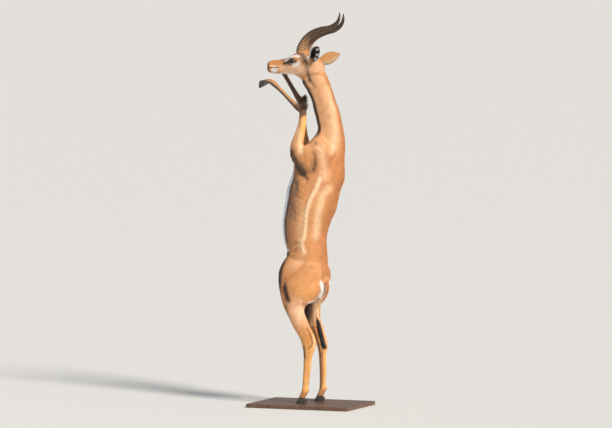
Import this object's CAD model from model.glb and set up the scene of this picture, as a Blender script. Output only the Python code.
# %% [markdown]
# # A gerenuk, standing upright to browse
# A gerenuk is a slender antelope with a very long neck. It reaches high food by standing up on
# its hind legs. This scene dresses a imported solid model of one: the solids say where every part is
# and how large it is, and here each part gets its fine shape, its coat and its colours.
#
# The animal faces -X, its left side is towards -Y, and +Z is up. Sizes are in metres.
#
# The cells below run in order: the frame, the camera and lights, then the skin, the head's fine
# forms, horns, ears, eyes, hooves, dark brushes of hair, and last the coat of short fur.

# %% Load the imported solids
import math

import bmesh
import bpy
import numpy as np
from mathutils import Matrix, Vector


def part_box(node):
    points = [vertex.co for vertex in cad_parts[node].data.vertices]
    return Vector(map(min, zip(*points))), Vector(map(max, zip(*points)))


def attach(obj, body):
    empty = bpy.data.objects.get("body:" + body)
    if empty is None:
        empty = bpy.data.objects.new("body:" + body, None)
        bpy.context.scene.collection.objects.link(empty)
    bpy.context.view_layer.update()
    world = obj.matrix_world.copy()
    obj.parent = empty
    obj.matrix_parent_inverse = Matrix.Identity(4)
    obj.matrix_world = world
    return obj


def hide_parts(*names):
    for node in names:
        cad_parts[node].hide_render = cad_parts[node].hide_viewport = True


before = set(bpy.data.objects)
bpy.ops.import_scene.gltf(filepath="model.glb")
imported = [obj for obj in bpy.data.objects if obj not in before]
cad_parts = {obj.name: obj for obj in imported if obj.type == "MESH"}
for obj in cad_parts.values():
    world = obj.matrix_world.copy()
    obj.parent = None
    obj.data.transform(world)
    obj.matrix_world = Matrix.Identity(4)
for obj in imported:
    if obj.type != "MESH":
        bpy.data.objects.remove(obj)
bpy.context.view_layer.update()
print(len(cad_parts), "solid nodes in the frame")

# %% [markdown]
# ## The animal's own frame
# The tables that follow give heights above the ground under the hooves. The model stands on a
# wooden base and a little off its middle, so one shift takes every point from the animal's own
# frame to the model's. The base's top is read from the frame, so it is never guessed.

# %% Shift from the animal's frame to the model's
HAIR_GAP = 0.0003
BASE_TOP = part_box("stand_base")[1][2]
SHIFT = np.array([0.02, 0.0, BASE_TOP + HAIR_GAP])
print("the hooves stand", round(float(SHIFT[2]) * 1000, 1), "mm up")

# %% [markdown]
# ## Camera, floor and lights
# A long lens far away flattens the view, as a photographer's telephoto does with a shy animal.
# The camera stands behind and to the left of the animal, a little above the ground. The lights
# are large, because a large lamp gives soft edges to its shadows: one strong lamp high on the
# right and behind the camera, as soft and even as daylight through a big window, and pale light
# from all round. The view's colours are kept plain, with no film look laid over them.

# %% Camera
VIEW_TURN = math.radians(22.0)
VIEW_RISE = math.radians(3.5)
VIEW_POINT = Vector((-0.029, 0.0, 1.099))
VIEW_DISTANCE = 30.0
METRES_PER_PIXEL = 0.0057
IMAGE_WIDTH = 612
SENSOR_WIDTH = 36.0


def toward(turn, rise):
    """Unit vector that points from the animal to a place at this turn and rise."""
    return Vector((math.sin(turn) * math.cos(rise), -math.cos(turn) * math.cos(rise), math.sin(rise)))


def look(thing, place, target):
    """Stands a camera or lamp at a place and turns it to a target."""
    thing.location = place
    thing.rotation_euler = (target - place).to_track_quat("-Z", "Y").to_euler()
    bpy.context.scene.collection.objects.link(thing)
    return thing


lens_data = bpy.data.cameras.new("camera")
lens_data.sensor_width = SENSOR_WIDTH
lens_data.lens = SENSOR_WIDTH * VIEW_DISTANCE / (METRES_PER_PIXEL * IMAGE_WIDTH)
lens_data.clip_end = 300.0
camera = bpy.data.objects.new("camera", lens_data)
look(camera, VIEW_POINT + toward(VIEW_TURN, VIEW_RISE) * VIEW_DISTANCE, VIEW_POINT)
bpy.context.scene.camera = camera
print("lens", round(lens_data.lens, 1), "mm")

# %% Lamps and the pale surroundings
MIDDLE = Vector((0.0, 0.0, 1.15))
LAMP_DISTANCE = 5.0


def lamp(name, kind, turn, rise, power, colour):
    """A lamp that faces the animal's middle from five metres away."""
    data = bpy.data.lights.new(name, kind)
    data.energy = power
    data.color = colour
    place = MIDDLE + toward(math.radians(turn), math.radians(rise)) * LAMP_DISTANCE
    look(bpy.data.objects.new(name, data), place, MIDDLE)
    return data


lamp("key", "SUN", 61.0, 36.0, 4.3, (1.0, 0.95, 0.88)).angle = math.radians(14.0)
lamp("fill", "AREA", -35.0, 15.0, 14.0, (0.90, 0.95, 1.0)).size = 3.0
world = bpy.data.worlds.new("studio")
world.use_nodes = True
surroundings = world.node_tree.nodes["Background"].inputs
surroundings["Color"].default_value = (0.90, 0.94, 1.0, 1.0)
surroundings["Strength"].default_value = 0.42
bpy.context.scene.world = world
bpy.context.scene.view_settings.view_transform = "Standard"

# %% [markdown]
# ## Helpers for shapes
# Nearly every piece here is a *profile carried along a path*: rows of a few numbers say how wide
# and deep the form is at each place, a smooth run is drawn through the rows, and an outline is
# stamped at each step. Worked out with numpy, a whole piece is one array of points.

# %% A smooth run through rows of numbers
def fair(rows, steps):
    """Cubic pieces through every row: each blends two ends and two slopes by Hermite's weights."""
    rows = np.asarray(rows, float)
    slopes = np.gradient(rows, axis=0)
    u = np.linspace(0.0, 1.0, steps, endpoint=False)[None, :, None]
    start, end, leave, arrive = (part[:, None, :] for part in (rows[:-1], rows[1:], slopes[:-1], slopes[1:]))
    run = ((2 * u**3 - 3 * u**2 + 1) * start + (u**3 - 2 * u**2 + u) * leave
           + (3 * u**2 - 2 * u**3) * end + (u**3 - u**2) * arrive)
    return np.concatenate([run.reshape(-1, rows.shape[1]), rows[-1:]])


def unit(vectors):
    """Each row shortened or drawn out to length one."""
    return vectors / np.maximum(np.linalg.norm(vectors, axis=-1, keepdims=True), 1e-9)


def smooth_step(values, low, high):
    """0 below low, 1 above high, and an S-curve 3t^2 - 2t^3 between."""
    t = np.clip((values - low) / (high - low), 0.0, 1.0)
    return t * t * (3.0 - 2.0 * t)


def turns(count):
    """Evenly spaced angles, once round."""
    return np.linspace(0.0, 2.0 * math.pi, count, endpoint=False)


def outline(around, power):
    """Unit outline between an ellipse (power 2) and a box: |x|^p + |y|^p = 1."""
    cosine, sine = np.cos(turns(around)), np.sin(turns(around))
    return (np.sign(cosine) * np.abs(cosine) ** (2 / power), np.sign(sine) * np.abs(sine) ** (2 / power))


SIDES = (("left", -1.0), ("right", 1.0))


def mirrored(points, side):
    """Points with their y times the side, -1 for the left and 1 for the right."""
    return np.array(points) * (1.0, side, 1.0)


def cross_axes(way):
    """Sideways and depth directions of a path: Y made square to its way, and their cross product."""
    lateral = unit(np.array([0.0, 1.0, 0.0]) - way[:, 1:2] * way)
    return lateral, np.cross(lateral, way)


def carried(path, depth, deep, lateral, wide):
    """An outline stamped at each step of a path, so far along one direction and so far along another."""
    return path[:, None, :] + deep[..., None] * depth[:, None, :] + wide[..., None] * lateral[:, None, :]


# %% Meshes from arrays
def mesh_object(name, points, faces):
    """One mesh object from an array of points and a list of face arrays of three or four corners."""
    mesh = bpy.data.meshes.new(name)
    corners = [face for block in faces for face in block.tolist()]
    mesh.from_pydata(np.asarray(points).tolist(), [], corners)
    mesh.update()
    made = bpy.data.objects.new(name, mesh)
    bpy.context.scene.collection.objects.link(made)
    return made


def ring_faces(levels, around):
    """Squares between neighbouring rings, and fans to one middle point at each end."""
    level, place = np.meshgrid(np.arange(levels - 1), np.arange(around), indexing="ij")
    following = (place + 1) % around
    a, b = level * around + place, level * around + following
    walls = np.stack([a, b, b + around, a + around], axis=-1).reshape(-1, 4)
    place = np.arange(around)
    following = (place + 1) % around
    first, last, count = 0, (levels - 1) * around, levels * around
    start = np.stack([np.full(around, count), first + following, first + place], axis=1)
    end = np.stack([np.full(around, count + 1), last + place, last + following], axis=1)
    return [walls, start, end]


def ring_points(rings):
    """The rings' points, then the mean of the first ring and of the last."""
    return np.concatenate([rings.reshape(-1, 3), rings[:1].mean(axis=1), rings[-1:].mean(axis=1)])


def facing_out(made):
    """Turns every face of a closed mesh outwards."""
    shape = bmesh.new()
    shape.from_mesh(made.data)
    bmesh.ops.recalc_face_normals(shape, faces=shape.faces)
    if shape.calc_volume(signed=True) < 0.0:
        bmesh.ops.reverse_faces(shape, faces=shape.faces)
    shape.to_mesh(made.data)
    shape.free()
    return made


def lofted(name, rings):
    """A closed surface through rings of points."""
    rings = np.asarray(rings)
    return facing_out(mesh_object(name, ring_points(rings), ring_faces(*rings.shape[:2])))


# %% Two kinds of loft
def level_rings(rows, side=1.0, push=None, power=2.25, around=36, steps=6):
    """Level slices. A row is height, front x, back x, middle y, half width; push(z) moves a slice along x."""
    run = fair(rows, steps)
    height, front, back, middle, half = run.T
    along, across = outline(around, power)
    shift = push(height) if push else 0.0
    x = ((front + back) / 2 + shift)[:, None] + along * ((back - front) / 2)[:, None]
    y = side * middle[:, None] + across * half[:, None]
    return np.stack([x, y, np.repeat(height[:, None], around, axis=1)], axis=-1)


def bone_rings(rows, side=1.0, power=2.1, around=24, steps=5):
    """Slices square to a path. A row is x, y, z, half depth, half width."""
    run = fair(rows, steps)
    path = mirrored(run[:, :3], side)
    lateral, depth = cross_axes(unit(np.gradient(path, axis=0)))
    along, across = outline(around, power)
    return carried(path, depth, run[:, 3:4] * along, lateral, run[:, 4:5] * across)


def ball_rings(centre, radii, lean=0.0, levels=14, around=24):
    """An ellipsoid about centre, leaned about Y: rings of sin(t), stepped along cos(t)."""
    t = np.linspace(0.02, math.pi - 0.02, levels)[:, None]
    turn = turns(around)[None, :]
    ball = np.stack([np.sin(t) * np.cos(turn), np.sin(t) * np.sin(turn), np.cos(t) + 0.0 * turn], axis=-1)
    ball = ball * radii
    turned = np.array(Matrix.Rotation(lean, 3, "Y"))
    return ball @ turned.T + np.asarray(centre)


# %% [markdown]
# ## The flesh, part by part
# These tables are the animal's build: the long trunk and neck in level slices, the hind leg in
# level slices too, the head in slices across its length, and the forelimbs along their bones.
# They are the same numbers that the solid model was lofted from, so the skin fits it.

# %% Tables of the body's forms
TRUNK = [
    (0.600, 0.000, 0.046, 0.0, 0.028),
    (0.640, -0.035, 0.056, 0.0, 0.060),
    (0.690, -0.085, 0.066, 0.0, 0.078),
    (0.750, -0.128, 0.080, 0.0, 0.086),
    (0.810, -0.158, 0.079, 0.0, 0.086),
    (0.872, -0.163, 0.075, 0.0, 0.085),
    (0.929, -0.178, 0.071, 0.0, 0.090),
    (0.986, -0.184, 0.081, 0.0, 0.096),
    (1.043, -0.184, 0.101, 0.0, 0.103),
    (1.100, -0.175, 0.128, 0.0, 0.108),
    (1.157, -0.166, 0.141, 0.0, 0.110),
    (1.214, -0.158, 0.156, 0.0, 0.110),
    (1.272, -0.138, 0.179, 0.0, 0.107),
    (1.328, -0.120, 0.182, 0.0, 0.101),
    (1.385, -0.116, 0.182, 0.0, 0.092),
    (1.442, -0.078, 0.186, 0.0, 0.079),
    (1.499, -0.016, 0.186, 0.0, 0.064),
    (1.556, 0.026, 0.178, 0.0, 0.053),
    (1.613, 0.018, 0.166, 0.0, 0.048),
    (1.670, 0.002, 0.153, 0.0, 0.045),
    (1.727, -0.013, 0.130, 0.0, 0.044),
    (1.784, -0.042, 0.111, 0.0, 0.044),
    (1.836, -0.072, 0.091, 0.0, 0.045),
    (1.885, -0.064, 0.068, 0.0, 0.044),
    (1.925, -0.045, 0.046, 0.0, 0.036),
]

HIND_LEG = [
    (0.830, -0.156, 0.030, -0.034, 0.042),
    (0.790, -0.178, 0.062, -0.046, 0.050),
    (0.747, -0.192, 0.078, -0.054, 0.055),
    (0.690, -0.192, 0.074, -0.060, 0.058),
    (0.633, -0.181, 0.060, -0.066, 0.056),
    (0.598, -0.171, 0.038, -0.070, 0.052),
    (0.580, -0.165, 0.020, -0.072, 0.049),
    (0.563, -0.159, -0.013, -0.0745, 0.045),
    (0.541, -0.149, -0.029, -0.077, 0.040),
    (0.513, -0.134, -0.027, -0.079, 0.036),
    (0.473, -0.114, -0.008, -0.080, 0.031),
    (0.433, -0.093, 0.011, -0.081, 0.026),
    (0.388, -0.064, 0.035, -0.081, 0.022),
    (0.348, -0.045, 0.047, -0.080, 0.0215),
    (0.308, -0.036, 0.037, -0.080, 0.0195),
    (0.268, -0.032, 0.0225, -0.080, 0.0168),
    (0.188, -0.034, 0.0120, -0.080, 0.0155),
    (0.108, -0.039, 0.001, -0.080, 0.0158),
    (0.076, -0.043, 0.003, -0.080, 0.0200),
    (0.052, -0.052, -0.010, -0.080, 0.0190),
    (0.030, -0.064, -0.020, -0.080, 0.0185),
]

# The right hind leg is less bent: its rear edge, by height, where it isn't the left one's.
FAR_LEG_BACK = {0.580: 0.024, 0.563: 0.008, 0.541: 0.001, 0.513: -0.003, 0.473: -0.004, 0.433: 0.005,
                0.388: 0.018, 0.348: 0.027, 0.308: 0.026, 0.268: 0.015, 0.188: 0.0095, 0.108: -0.001}
FAR_LEG = [(z, front, FAR_LEG_BACK.get(z, back), middle, half) for z, front, back, middle, half in HIND_LEG]

HEAD = [
    (0.058, 1.880, 1.932, 0.026, 0.0),
    (0.040, 1.850, 1.958, 0.038, 0.0),
    (0.015, 1.842, 1.982, 0.045, 0.0),
    (-0.012, 1.842, 2.000, 0.049, 0.05),
    (-0.040, 1.830, 2.008, 0.051, 0.10),
    (-0.070, 1.842, 2.010, 0.051, 0.14),
    (-0.098, 1.858, 2.001, 0.050, 0.18),
    (-0.124, 1.867, 1.985, 0.046, 0.20),
    (-0.150, 1.871, 1.971, 0.038, 0.16),
    (-0.178, 1.871, 1.963, 0.031, 0.10),
    (-0.209, 1.872, 1.957, 0.027, 0.04),
    (-0.240, 1.873, 1.954, 0.0255, 0.0),
    (-0.264, 1.875, 1.951, 0.0250, 0.0),
    (-0.280, 1.882, 1.945, 0.0215, 0.0),
    (-0.287, 1.894, 1.934, 0.0130, 0.0),
]

UPPER_ARM = [
    (-0.086, -0.098, 1.408, 0.022, 0.024),
    (-0.062, -0.100, 1.402, 0.042, 0.031),
    (-0.020, -0.096, 1.402, 0.072, 0.035),
    (0.030, -0.086, 1.400, 0.098, 0.035),
    (0.080, -0.074, 1.390, 0.100, 0.030),
    (0.130, -0.058, 1.372, 0.078, 0.024),
]

FOREARM_LEFT = [
    (-0.070, -0.099, 1.400, 0.034, 0.028),
    (-0.064, -0.100, 1.442, 0.042, 0.030),
    (-0.063, -0.099, 1.479, 0.037, 0.029),
    (-0.042, -0.098, 1.556, 0.028, 0.023),
    (-0.031, -0.096, 1.613, 0.0235, 0.0195),
    (-0.028, -0.095, 1.640, 0.0205, 0.0188),
    (-0.029, -0.095, 1.662, 0.0215, 0.0200),
    (-0.034, -0.095, 1.682, 0.0190, 0.0190),
]

CANNON_LEFT = [
    (-0.024, -0.095, 1.671, 0.0190, 0.0190),
    (-0.044, -0.095, 1.679, 0.0220, 0.0195),
    (-0.069, -0.095, 1.695, 0.0182, 0.0162),
    (-0.120, -0.094, 1.741, 0.0142, 0.0134),
    (-0.172, -0.092, 1.789, 0.0140, 0.0136),
    (-0.210, -0.091, 1.821, 0.0168, 0.0180),
    (-0.232, -0.090, 1.833, 0.0150, 0.0175),
    (-0.254, -0.089, 1.835, 0.0145, 0.0175),
]

FOREARM_RIGHT = [
    (-0.098, 0.097, 1.430, 0.034, 0.028),
    (-0.105, 0.098, 1.474, 0.039, 0.029),
    (-0.109, 0.097, 1.522, 0.032, 0.026),
    (-0.110, 0.095, 1.582, 0.025, 0.021),
    (-0.108, 0.093, 1.632, 0.0213, 0.0192),
    (-0.107, 0.092, 1.670, 0.0205, 0.0187),
    (-0.108, 0.091, 1.693, 0.0215, 0.0200),
    (-0.113, 0.091, 1.712, 0.0190, 0.0190),
]

CANNON_RIGHT = [
    (-0.104, 0.091, 1.699, 0.0190, 0.0190),
    (-0.119, 0.091, 1.716, 0.0220, 0.0195),
    (-0.136, 0.091, 1.738, 0.0182, 0.0162),
    (-0.171, 0.090, 1.793, 0.0142, 0.0134),
    (-0.209, 0.088, 1.855, 0.0140, 0.0136),
    (-0.232, 0.087, 1.891, 0.0168, 0.0180),
    (-0.248, 0.086, 1.909, 0.0150, 0.0175),
    (-0.268, 0.085, 1.918, 0.0145, 0.0175),
]

HORN = [
    (-0.0735, 0.0265, 1.984, 0.0255),
    (-0.0735, 0.0275, 2.012, 0.0262),
    (-0.0605, 0.0295, 2.0445, 0.0245),
    (-0.0412, 0.0320, 2.072, 0.0228),
    (-0.0105, 0.0355, 2.0987, 0.0206),
    (0.0277, 0.0375, 2.1164, 0.0190),
    (0.0590, 0.0380, 2.1260, 0.0176),
    (0.0930, 0.0370, 2.1330, 0.0156),
    (0.1230, 0.0345, 2.1480, 0.0134),
    (0.1445, 0.0315, 2.1710, 0.0106),
    (0.1520, 0.0285, 2.2000, 0.0070),
    (0.1515, 0.0265, 2.2260, 0.0024),
]

TAIL = [
    (0.052, 0.0, 0.716, 0.0110, 0.0130),
    (0.074, 0.0, 0.704, 0.0110, 0.0120),
    (0.085, 0.0, 0.676, 0.0090, 0.0100),
    (0.083, 0.0, 0.640, 0.0078, 0.0085),
    (0.068, 0.0, 0.604, 0.0074, 0.0080),
    (0.041, 0.0, 0.572, 0.0070, 0.0076),
    (0.021, 0.001, 0.546, 0.0068, 0.0075),
    (0.016, 0.003, 0.515, 0.0070, 0.0075),
    (0.017, 0.005, 0.480, 0.0085, 0.0088),
]

# %% The head's small turn
HEAD_PIVOT = Vector((0.0, 0.0, 1.94))
HEAD_ROLL = math.radians(-9.0)
HEAD_YAW = math.radians(-2.0)
pivot = Matrix.Translation(HEAD_PIVOT)
HEAD_TURN = pivot @ Matrix.Rotation(HEAD_YAW, 4, "Z") @ Matrix.Rotation(HEAD_ROLL, 4, "X") @ pivot.inverted()


def turned(ways, matrix):
    """Directions taken through a four by four matrix."""
    return ways @ np.array(matrix)[:3, :3].T


def placed(points, matrix):
    """Points taken through a four by four matrix."""
    return turned(points, matrix) + np.array(matrix)[:3, 3]


def head_rings(around=40, steps=6):
    """Slices across the head's length. Each is an outline, wider on top by its last number."""
    run = fair(HEAD, steps)
    x, low, high, half, top_heavy = (column[:, None] for column in run.T)
    up, across = outline(around, 2.2)
    wide = half * (1.0 + top_heavy * up)
    rings = np.stack([x + 0.0 * up, across * wide, (low + high) / 2 + up * (high - low) / 2], axis=-1)
    return placed(rings, HEAD_TURN)


# %% How the right legs stand
FAR_FOOT_BACK = 0.046
SWING_TOP = 0.62
SWING_REACH = 0.56
FAR_ARM_RISE = 0.035
FAR_UPPER_ARM = [(x, y, z + FAR_ARM_RISE, deep, wide) for x, y, z, deep, wide in UPPER_ARM]


def leg_push(height):
    """Nothing at the hip, growing straight down to the foot's full step."""
    return FAR_FOOT_BACK * np.clip((SWING_TOP - height) / SWING_REACH, 0.0, 1.0)


# %% Every form of the flesh
def flesh_rings():
    """All lofts and lumps of the body, overlapping and ready to fuse."""
    forms = [level_rings(TRUNK), level_rings(HIND_LEG), level_rings(FAR_LEG, side=-1.0, push=leg_push),
             head_rings(), bone_rings(UPPER_ARM), bone_rings(FOREARM_LEFT), bone_rings(CANNON_LEFT),
             bone_rings(FAR_UPPER_ARM, side=-1.0), bone_rings(FOREARM_RIGHT), bone_rings(CANNON_RIGHT),
             bone_rings(TAIL, around=14)]
    for _, side in SIDES:
        forms.append(ball_rings((0.052, side * 0.062, 1.472), (0.052, 0.040, 0.052)))
        forms.append(ball_rings((0.048, side * 0.042, 0.672), (0.028, 0.034, 0.062)))
        forms.append(ball_rings((0.100, side * 0.055, 1.376), (0.046, 0.028, 0.104), math.radians(-26.0)))
        head_lumps = [((-0.112, side * 0.040, 1.966), (0.030, 0.013, 0.010)),
                      ((-0.060, side * 0.037, 1.905), (0.046, 0.017, 0.034)),
                      ((-0.070, side * 0.027, 1.992), (0.031, 0.026, 0.024)),
                      ((0.002, side * 0.040, 1.949), (0.022, 0.016, 0.020)),
                      ((-0.258, side * 0.015, 1.917), (0.026, 0.0125, 0.020))]
        forms += [placed(ball_rings(centre, radii), HEAD_TURN) for centre, radii in head_lumps]
    return forms


print(len(flesh_rings()), "forms of flesh")

# %% [markdown]
# ## One skin over all of it
# On a living animal one skin covers everything, with no seam between the leg and the trunk.
# Boolean unions would leave hard creases where forms cross. A *voxel remesh* instead rebuilds the
# whole surface as even squares, and a smoothing pass melts the crossings together like soft clay.
# The head needs finer squares than the flank, so its faces are cut in four afterwards, and those
# of the muzzle and the eyes once more.

# %% Fuse and smooth
VOXEL = 0.0045
MELTING_ROUNDS = 6


def applied(made):
    """Bakes an object's modifiers into its mesh."""
    bpy.context.view_layer.update()
    graph = bpy.context.evaluated_depsgraph_get()
    final = bpy.data.meshes.new_from_object(made.evaluated_get(graph))
    old = made.data
    made.modifiers.clear()
    made.data = final
    bpy.data.meshes.remove(old)
    return made


def joined_forms(name, forms):
    """One object that holds every closed form."""
    pieces = [lofted("form", rings) for rings in forms]
    shape = bmesh.new()
    for piece in pieces:
        shape.from_mesh(piece.data)
        bpy.data.objects.remove(piece, do_unlink=True)
    mesh = bpy.data.meshes.new(name)
    shape.to_mesh(mesh)
    shape.free()
    made = bpy.data.objects.new(name, mesh)
    bpy.context.scene.collection.objects.link(made)
    return made


skin = joined_forms("skin", flesh_rings())
remesh = skin.modifiers.new("fuse", "REMESH")
remesh.mode = "VOXEL"
remesh.voxel_size = VOXEL
melt = skin.modifiers.new("melt", "SMOOTH")
melt.factor = 0.5
melt.iterations = MELTING_ROUNDS
applied(skin)
print(len(skin.data.polygons), "faces after fusing")


# %% Arrays in and out of a mesh
def read(items, what, width, kind=float):
    """One property of every item in a mesh, as rows of this many numbers."""
    flat = np.empty(len(items) * width, kind)
    items.foreach_get(what, flat)
    return flat.reshape(-1, width)


def mesh_points(made):
    """The mesh's points as rows of x, y, z."""
    return read(made.data.vertices, "co", 3)


def mesh_edges(made):
    """The mesh's edges as rows of two point numbers."""
    return read(made.data.edges, "vertices", 2, int)


def mesh_normals(made):
    """The mesh's point normals."""
    return read(made.data.vertices, "normal", 3)


def set_points(made, points):
    """Puts new places into the mesh."""
    made.data.vertices.foreach_set("co", np.ravel(points))
    made.data.update()


# %% Finer faces on the head
HEAD_BACK = np.array([-0.012, 0.0, 1.861])
HEAD_WAY = np.array([-0.56, 0.0, 0.83])
HEAD_TURN_BACK = HEAD_TURN.inverted()
EYE = np.array([-0.113, 0.0405, 1.9415])
EYE_RADIUS = 0.0180


def on_head(points):
    """True for points past the plane where the neck meets the head, forelimbs left out."""
    upright = placed(points, HEAD_TURN_BACK)
    return ((points - HEAD_BACK) @ HEAD_WAY > -0.004) & (upright[:, 2] > 1.865)


def folded(points):
    """Points in the head's upright frame, the left half folded over on to the right."""
    upright = placed(points, HEAD_TURN_BACK)
    upright[:, 1] = np.abs(upright[:, 1])
    return upright


def on_fine_places(points):
    """True near the eyes, the mouth and the nostrils."""
    upright = folded(points)
    near_eye = np.linalg.norm((upright - EYE - (0.0, 0.012, 0.0)) * (1.0, 0.8, 1.2), axis=1) < 0.031
    muzzle = (upright[:, 0] < -0.205) & (upright[:, 2] > 1.875) & (upright[:, 1] < 0.034)
    return on_head(points) & (near_eye | muzzle)


def cut_finer(made, wanted):
    """Cuts every edge between marked points in two, so each marked square becomes four."""
    marked = wanted(mesh_points(made))
    chosen = np.flatnonzero(marked[mesh_edges(made)].all(axis=1))
    shape = bmesh.new()
    shape.from_mesh(made.data)
    shape.edges.ensure_lookup_table()
    bmesh.ops.subdivide_edges(shape, edges=[shape.edges[number] for number in chosen.tolist()], cuts=1,
                              use_grid_fill=True)
    shape.to_mesh(made.data)
    shape.free()
    made.data.update()


def relaxed(points, edges, weight, rounds):
    """Each point moves its weight's share of the way to the mean of its neighbours, round by round."""
    count = np.bincount(edges.ravel(), minlength=len(points))[:, None]
    for _ in range(rounds):
        total = np.stack([np.bincount(edges[:, 0], points[edges[:, 1], axis], len(points))
                          + np.bincount(edges[:, 1], points[edges[:, 0], axis], len(points))
                          for axis in range(3)], 1)
        points = points + weight[:, None] * (total / count - points)
    return points


for marked in (on_head, on_fine_places):
    cut_finer(skin, marked)
    set_points(skin, relaxed(mesh_points(skin), mesh_edges(skin), 0.5 * marked(mesh_points(skin)), 3))
print(len(skin.data.polygons), "faces with a finer head")

# %% [markdown]
# ## Muscles, folds and ribs
# A form is read by its light and shade, so each visible swelling and crease is pushed out or in
# along the skin's normal. The places are told in a *side view*: z is the height, and s is the
# place from front to back, less a share of the distance from the middle plane. Both sides of the
# body give the same s, so one line serves the left side and the right.

# %% Side view and soft marks
SIDE_SHARE = 0.4045


def side_view(points):
    """s = x - share * |y|, and z: the same for the left and the right side."""
    return points[:, 0] - SIDE_SHARE * np.abs(points[:, 1]), points[:, 2]


def line_distance(s, z, path):
    """Distance from each point (s, z) to the nearest place on a path of straight pieces."""
    path = np.asarray(path, float)
    nearest = np.full(len(s), 1e9)
    for (s0, z0), (s1, z1) in zip(path[:-1], path[1:]):
        ds, dz = s1 - s0, z1 - z0
        share = np.clip(((s - s0) * ds + (z - z0) * dz) / (ds * ds + dz * dz), 0.0, 1.0)
        nearest = np.minimum(nearest, np.hypot(s - s0 - share * ds, z - z0 - share * dz))
    return nearest


def stroke(s, z, path, width):
    """A soft stroke along a path: exp(-(distance / width)^2)."""
    return np.exp(-(line_distance(s, z, path) / width) ** 2)


def spot(s, z, centre, radii, edge=0.35):
    """A soft oval: 1 inside, 0 outside, with an edge this share of its size."""
    reach = np.hypot((s - centre[0]) / radii[0], (z - centre[1]) / radii[1])
    return 1.0 - smooth_step(reach, 1.0 - edge, 1.0 + edge)


# %% [markdown]
# ## Which part a point belongs to, and which way its hair lies
# Hair lies from the nose to the tail and from the shoulder or hip to the hoof. So a line is laid
# through the middle of each part, in that direction. A point on the skin takes a weighted mean of
# the lines' directions, and near lines weigh the most: exp(-k (distance / thickness)^2).

# %% Lines through the parts
def level_line(rows, side=1.0, push=None):
    """Middles, thickness and direction of a level loft, from its first row to its last."""
    height, front, back, middle, half = np.asarray(fair(rows, 2)).T
    shift = push(height) if push else 0.0
    path = np.stack([(front + back) / 2 + shift, side * middle, height], axis=1)
    return path, ((back - front) / 2 + half) / 2


def bone_line(rows, side=1.0):
    """Middles and thickness of a loft along a bone."""
    run = fair(rows, 2)
    return mirrored(run[:, :3], side), (run[:, 3] + run[:, 4]) / 2


def head_line():
    """Middles and thickness of the head, from the nose back."""
    x, low, high, half, _ = fair(HEAD[::-1], 2).T
    return placed(np.stack([x, 0.0 * x, (low + high) / 2], axis=1), HEAD_TURN), ((high - low) / 2 + half) / 2


far_bones = [(x, -y, z, deep, wide) for x, y, z, deep, wide in FOREARM_RIGHT[1:] + CANNON_RIGHT[1:]]
LINES = {
    "trunk": level_line(TRUNK[::-1]),
    "head": head_line(),
    "hind_left": level_line(HIND_LEG),
    "hind_right": level_line(FAR_LEG, side=-1.0, push=leg_push),
    "fore_left": bone_line(UPPER_ARM[::-1] + FOREARM_LEFT[1:] + CANNON_LEFT[1:]),
    "fore_right": bone_line(FAR_UPPER_ARM[::-1] + far_bones, side=-1.0),
    "tail": bone_line(TAIL),
}
PARTS = list(LINES)
line_points = np.concatenate([LINES[part][0] for part in PARTS])
line_thick = np.concatenate([LINES[part][1] for part in PARTS])
line_way = np.concatenate([unit(np.gradient(LINES[part][0], axis=0)) for part in PARTS])
line_part = np.concatenate([np.full(len(LINES[part][0]), number) for number, part in enumerate(PARTS)])
line_share = np.concatenate([np.linspace(0.0, 1.0, len(LINES[part][0])) for part in PARTS])
print(len(line_points), "places on", len(PARTS), "lines")


def in_parts(parts, *names):
    """True where a point's part is one of these."""
    return np.isin(parts, [PARTS.index(name) for name in names])


# %% Weigh the lines for many points at once
LINE_PULL = 4.0
BATCH = 15000


def nearby_lines(points):
    """For each point: the part it belongs to, the mean direction, the mean middle and the mean
    share along that part's line."""
    part, way, middle, share = [], [], [], []
    for start in range(0, len(points), BATCH):
        some = points[start:start + BATCH]
        reach = np.linalg.norm(some[:, None, :] - line_points[None], axis=2) / line_thick
        least = reach.min(axis=1, keepdims=True)
        weight = np.exp(-LINE_PULL * (reach - least) * (reach + least))
        of_part = np.stack([weight[:, line_part == number].sum(axis=1) for number in range(len(PARTS))], axis=1)
        winner = of_part.argmax(axis=1)
        own = weight * (line_part[None] == winner[:, None])
        own /= own.sum(axis=1, keepdims=True)
        part.append(winner)
        way.append(unit(weight @ line_way))
        middle.append(own @ line_points)
        share.append(own @ line_share)
    return np.concatenate(part), np.concatenate(way), np.concatenate(middle), np.concatenate(share)


shoulder = spot(*side_view(mesh_points(skin)), (0.060, 1.400), (0.130, 0.150), 0.5)
set_points(skin, relaxed(mesh_points(skin), mesh_edges(skin), 0.5 * shoulder, 14))
skin_part = nearby_lines(mesh_points(skin))[0]
print({part: int((skin_part == number).sum()) for number, part in enumerate(PARTS)})

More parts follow.
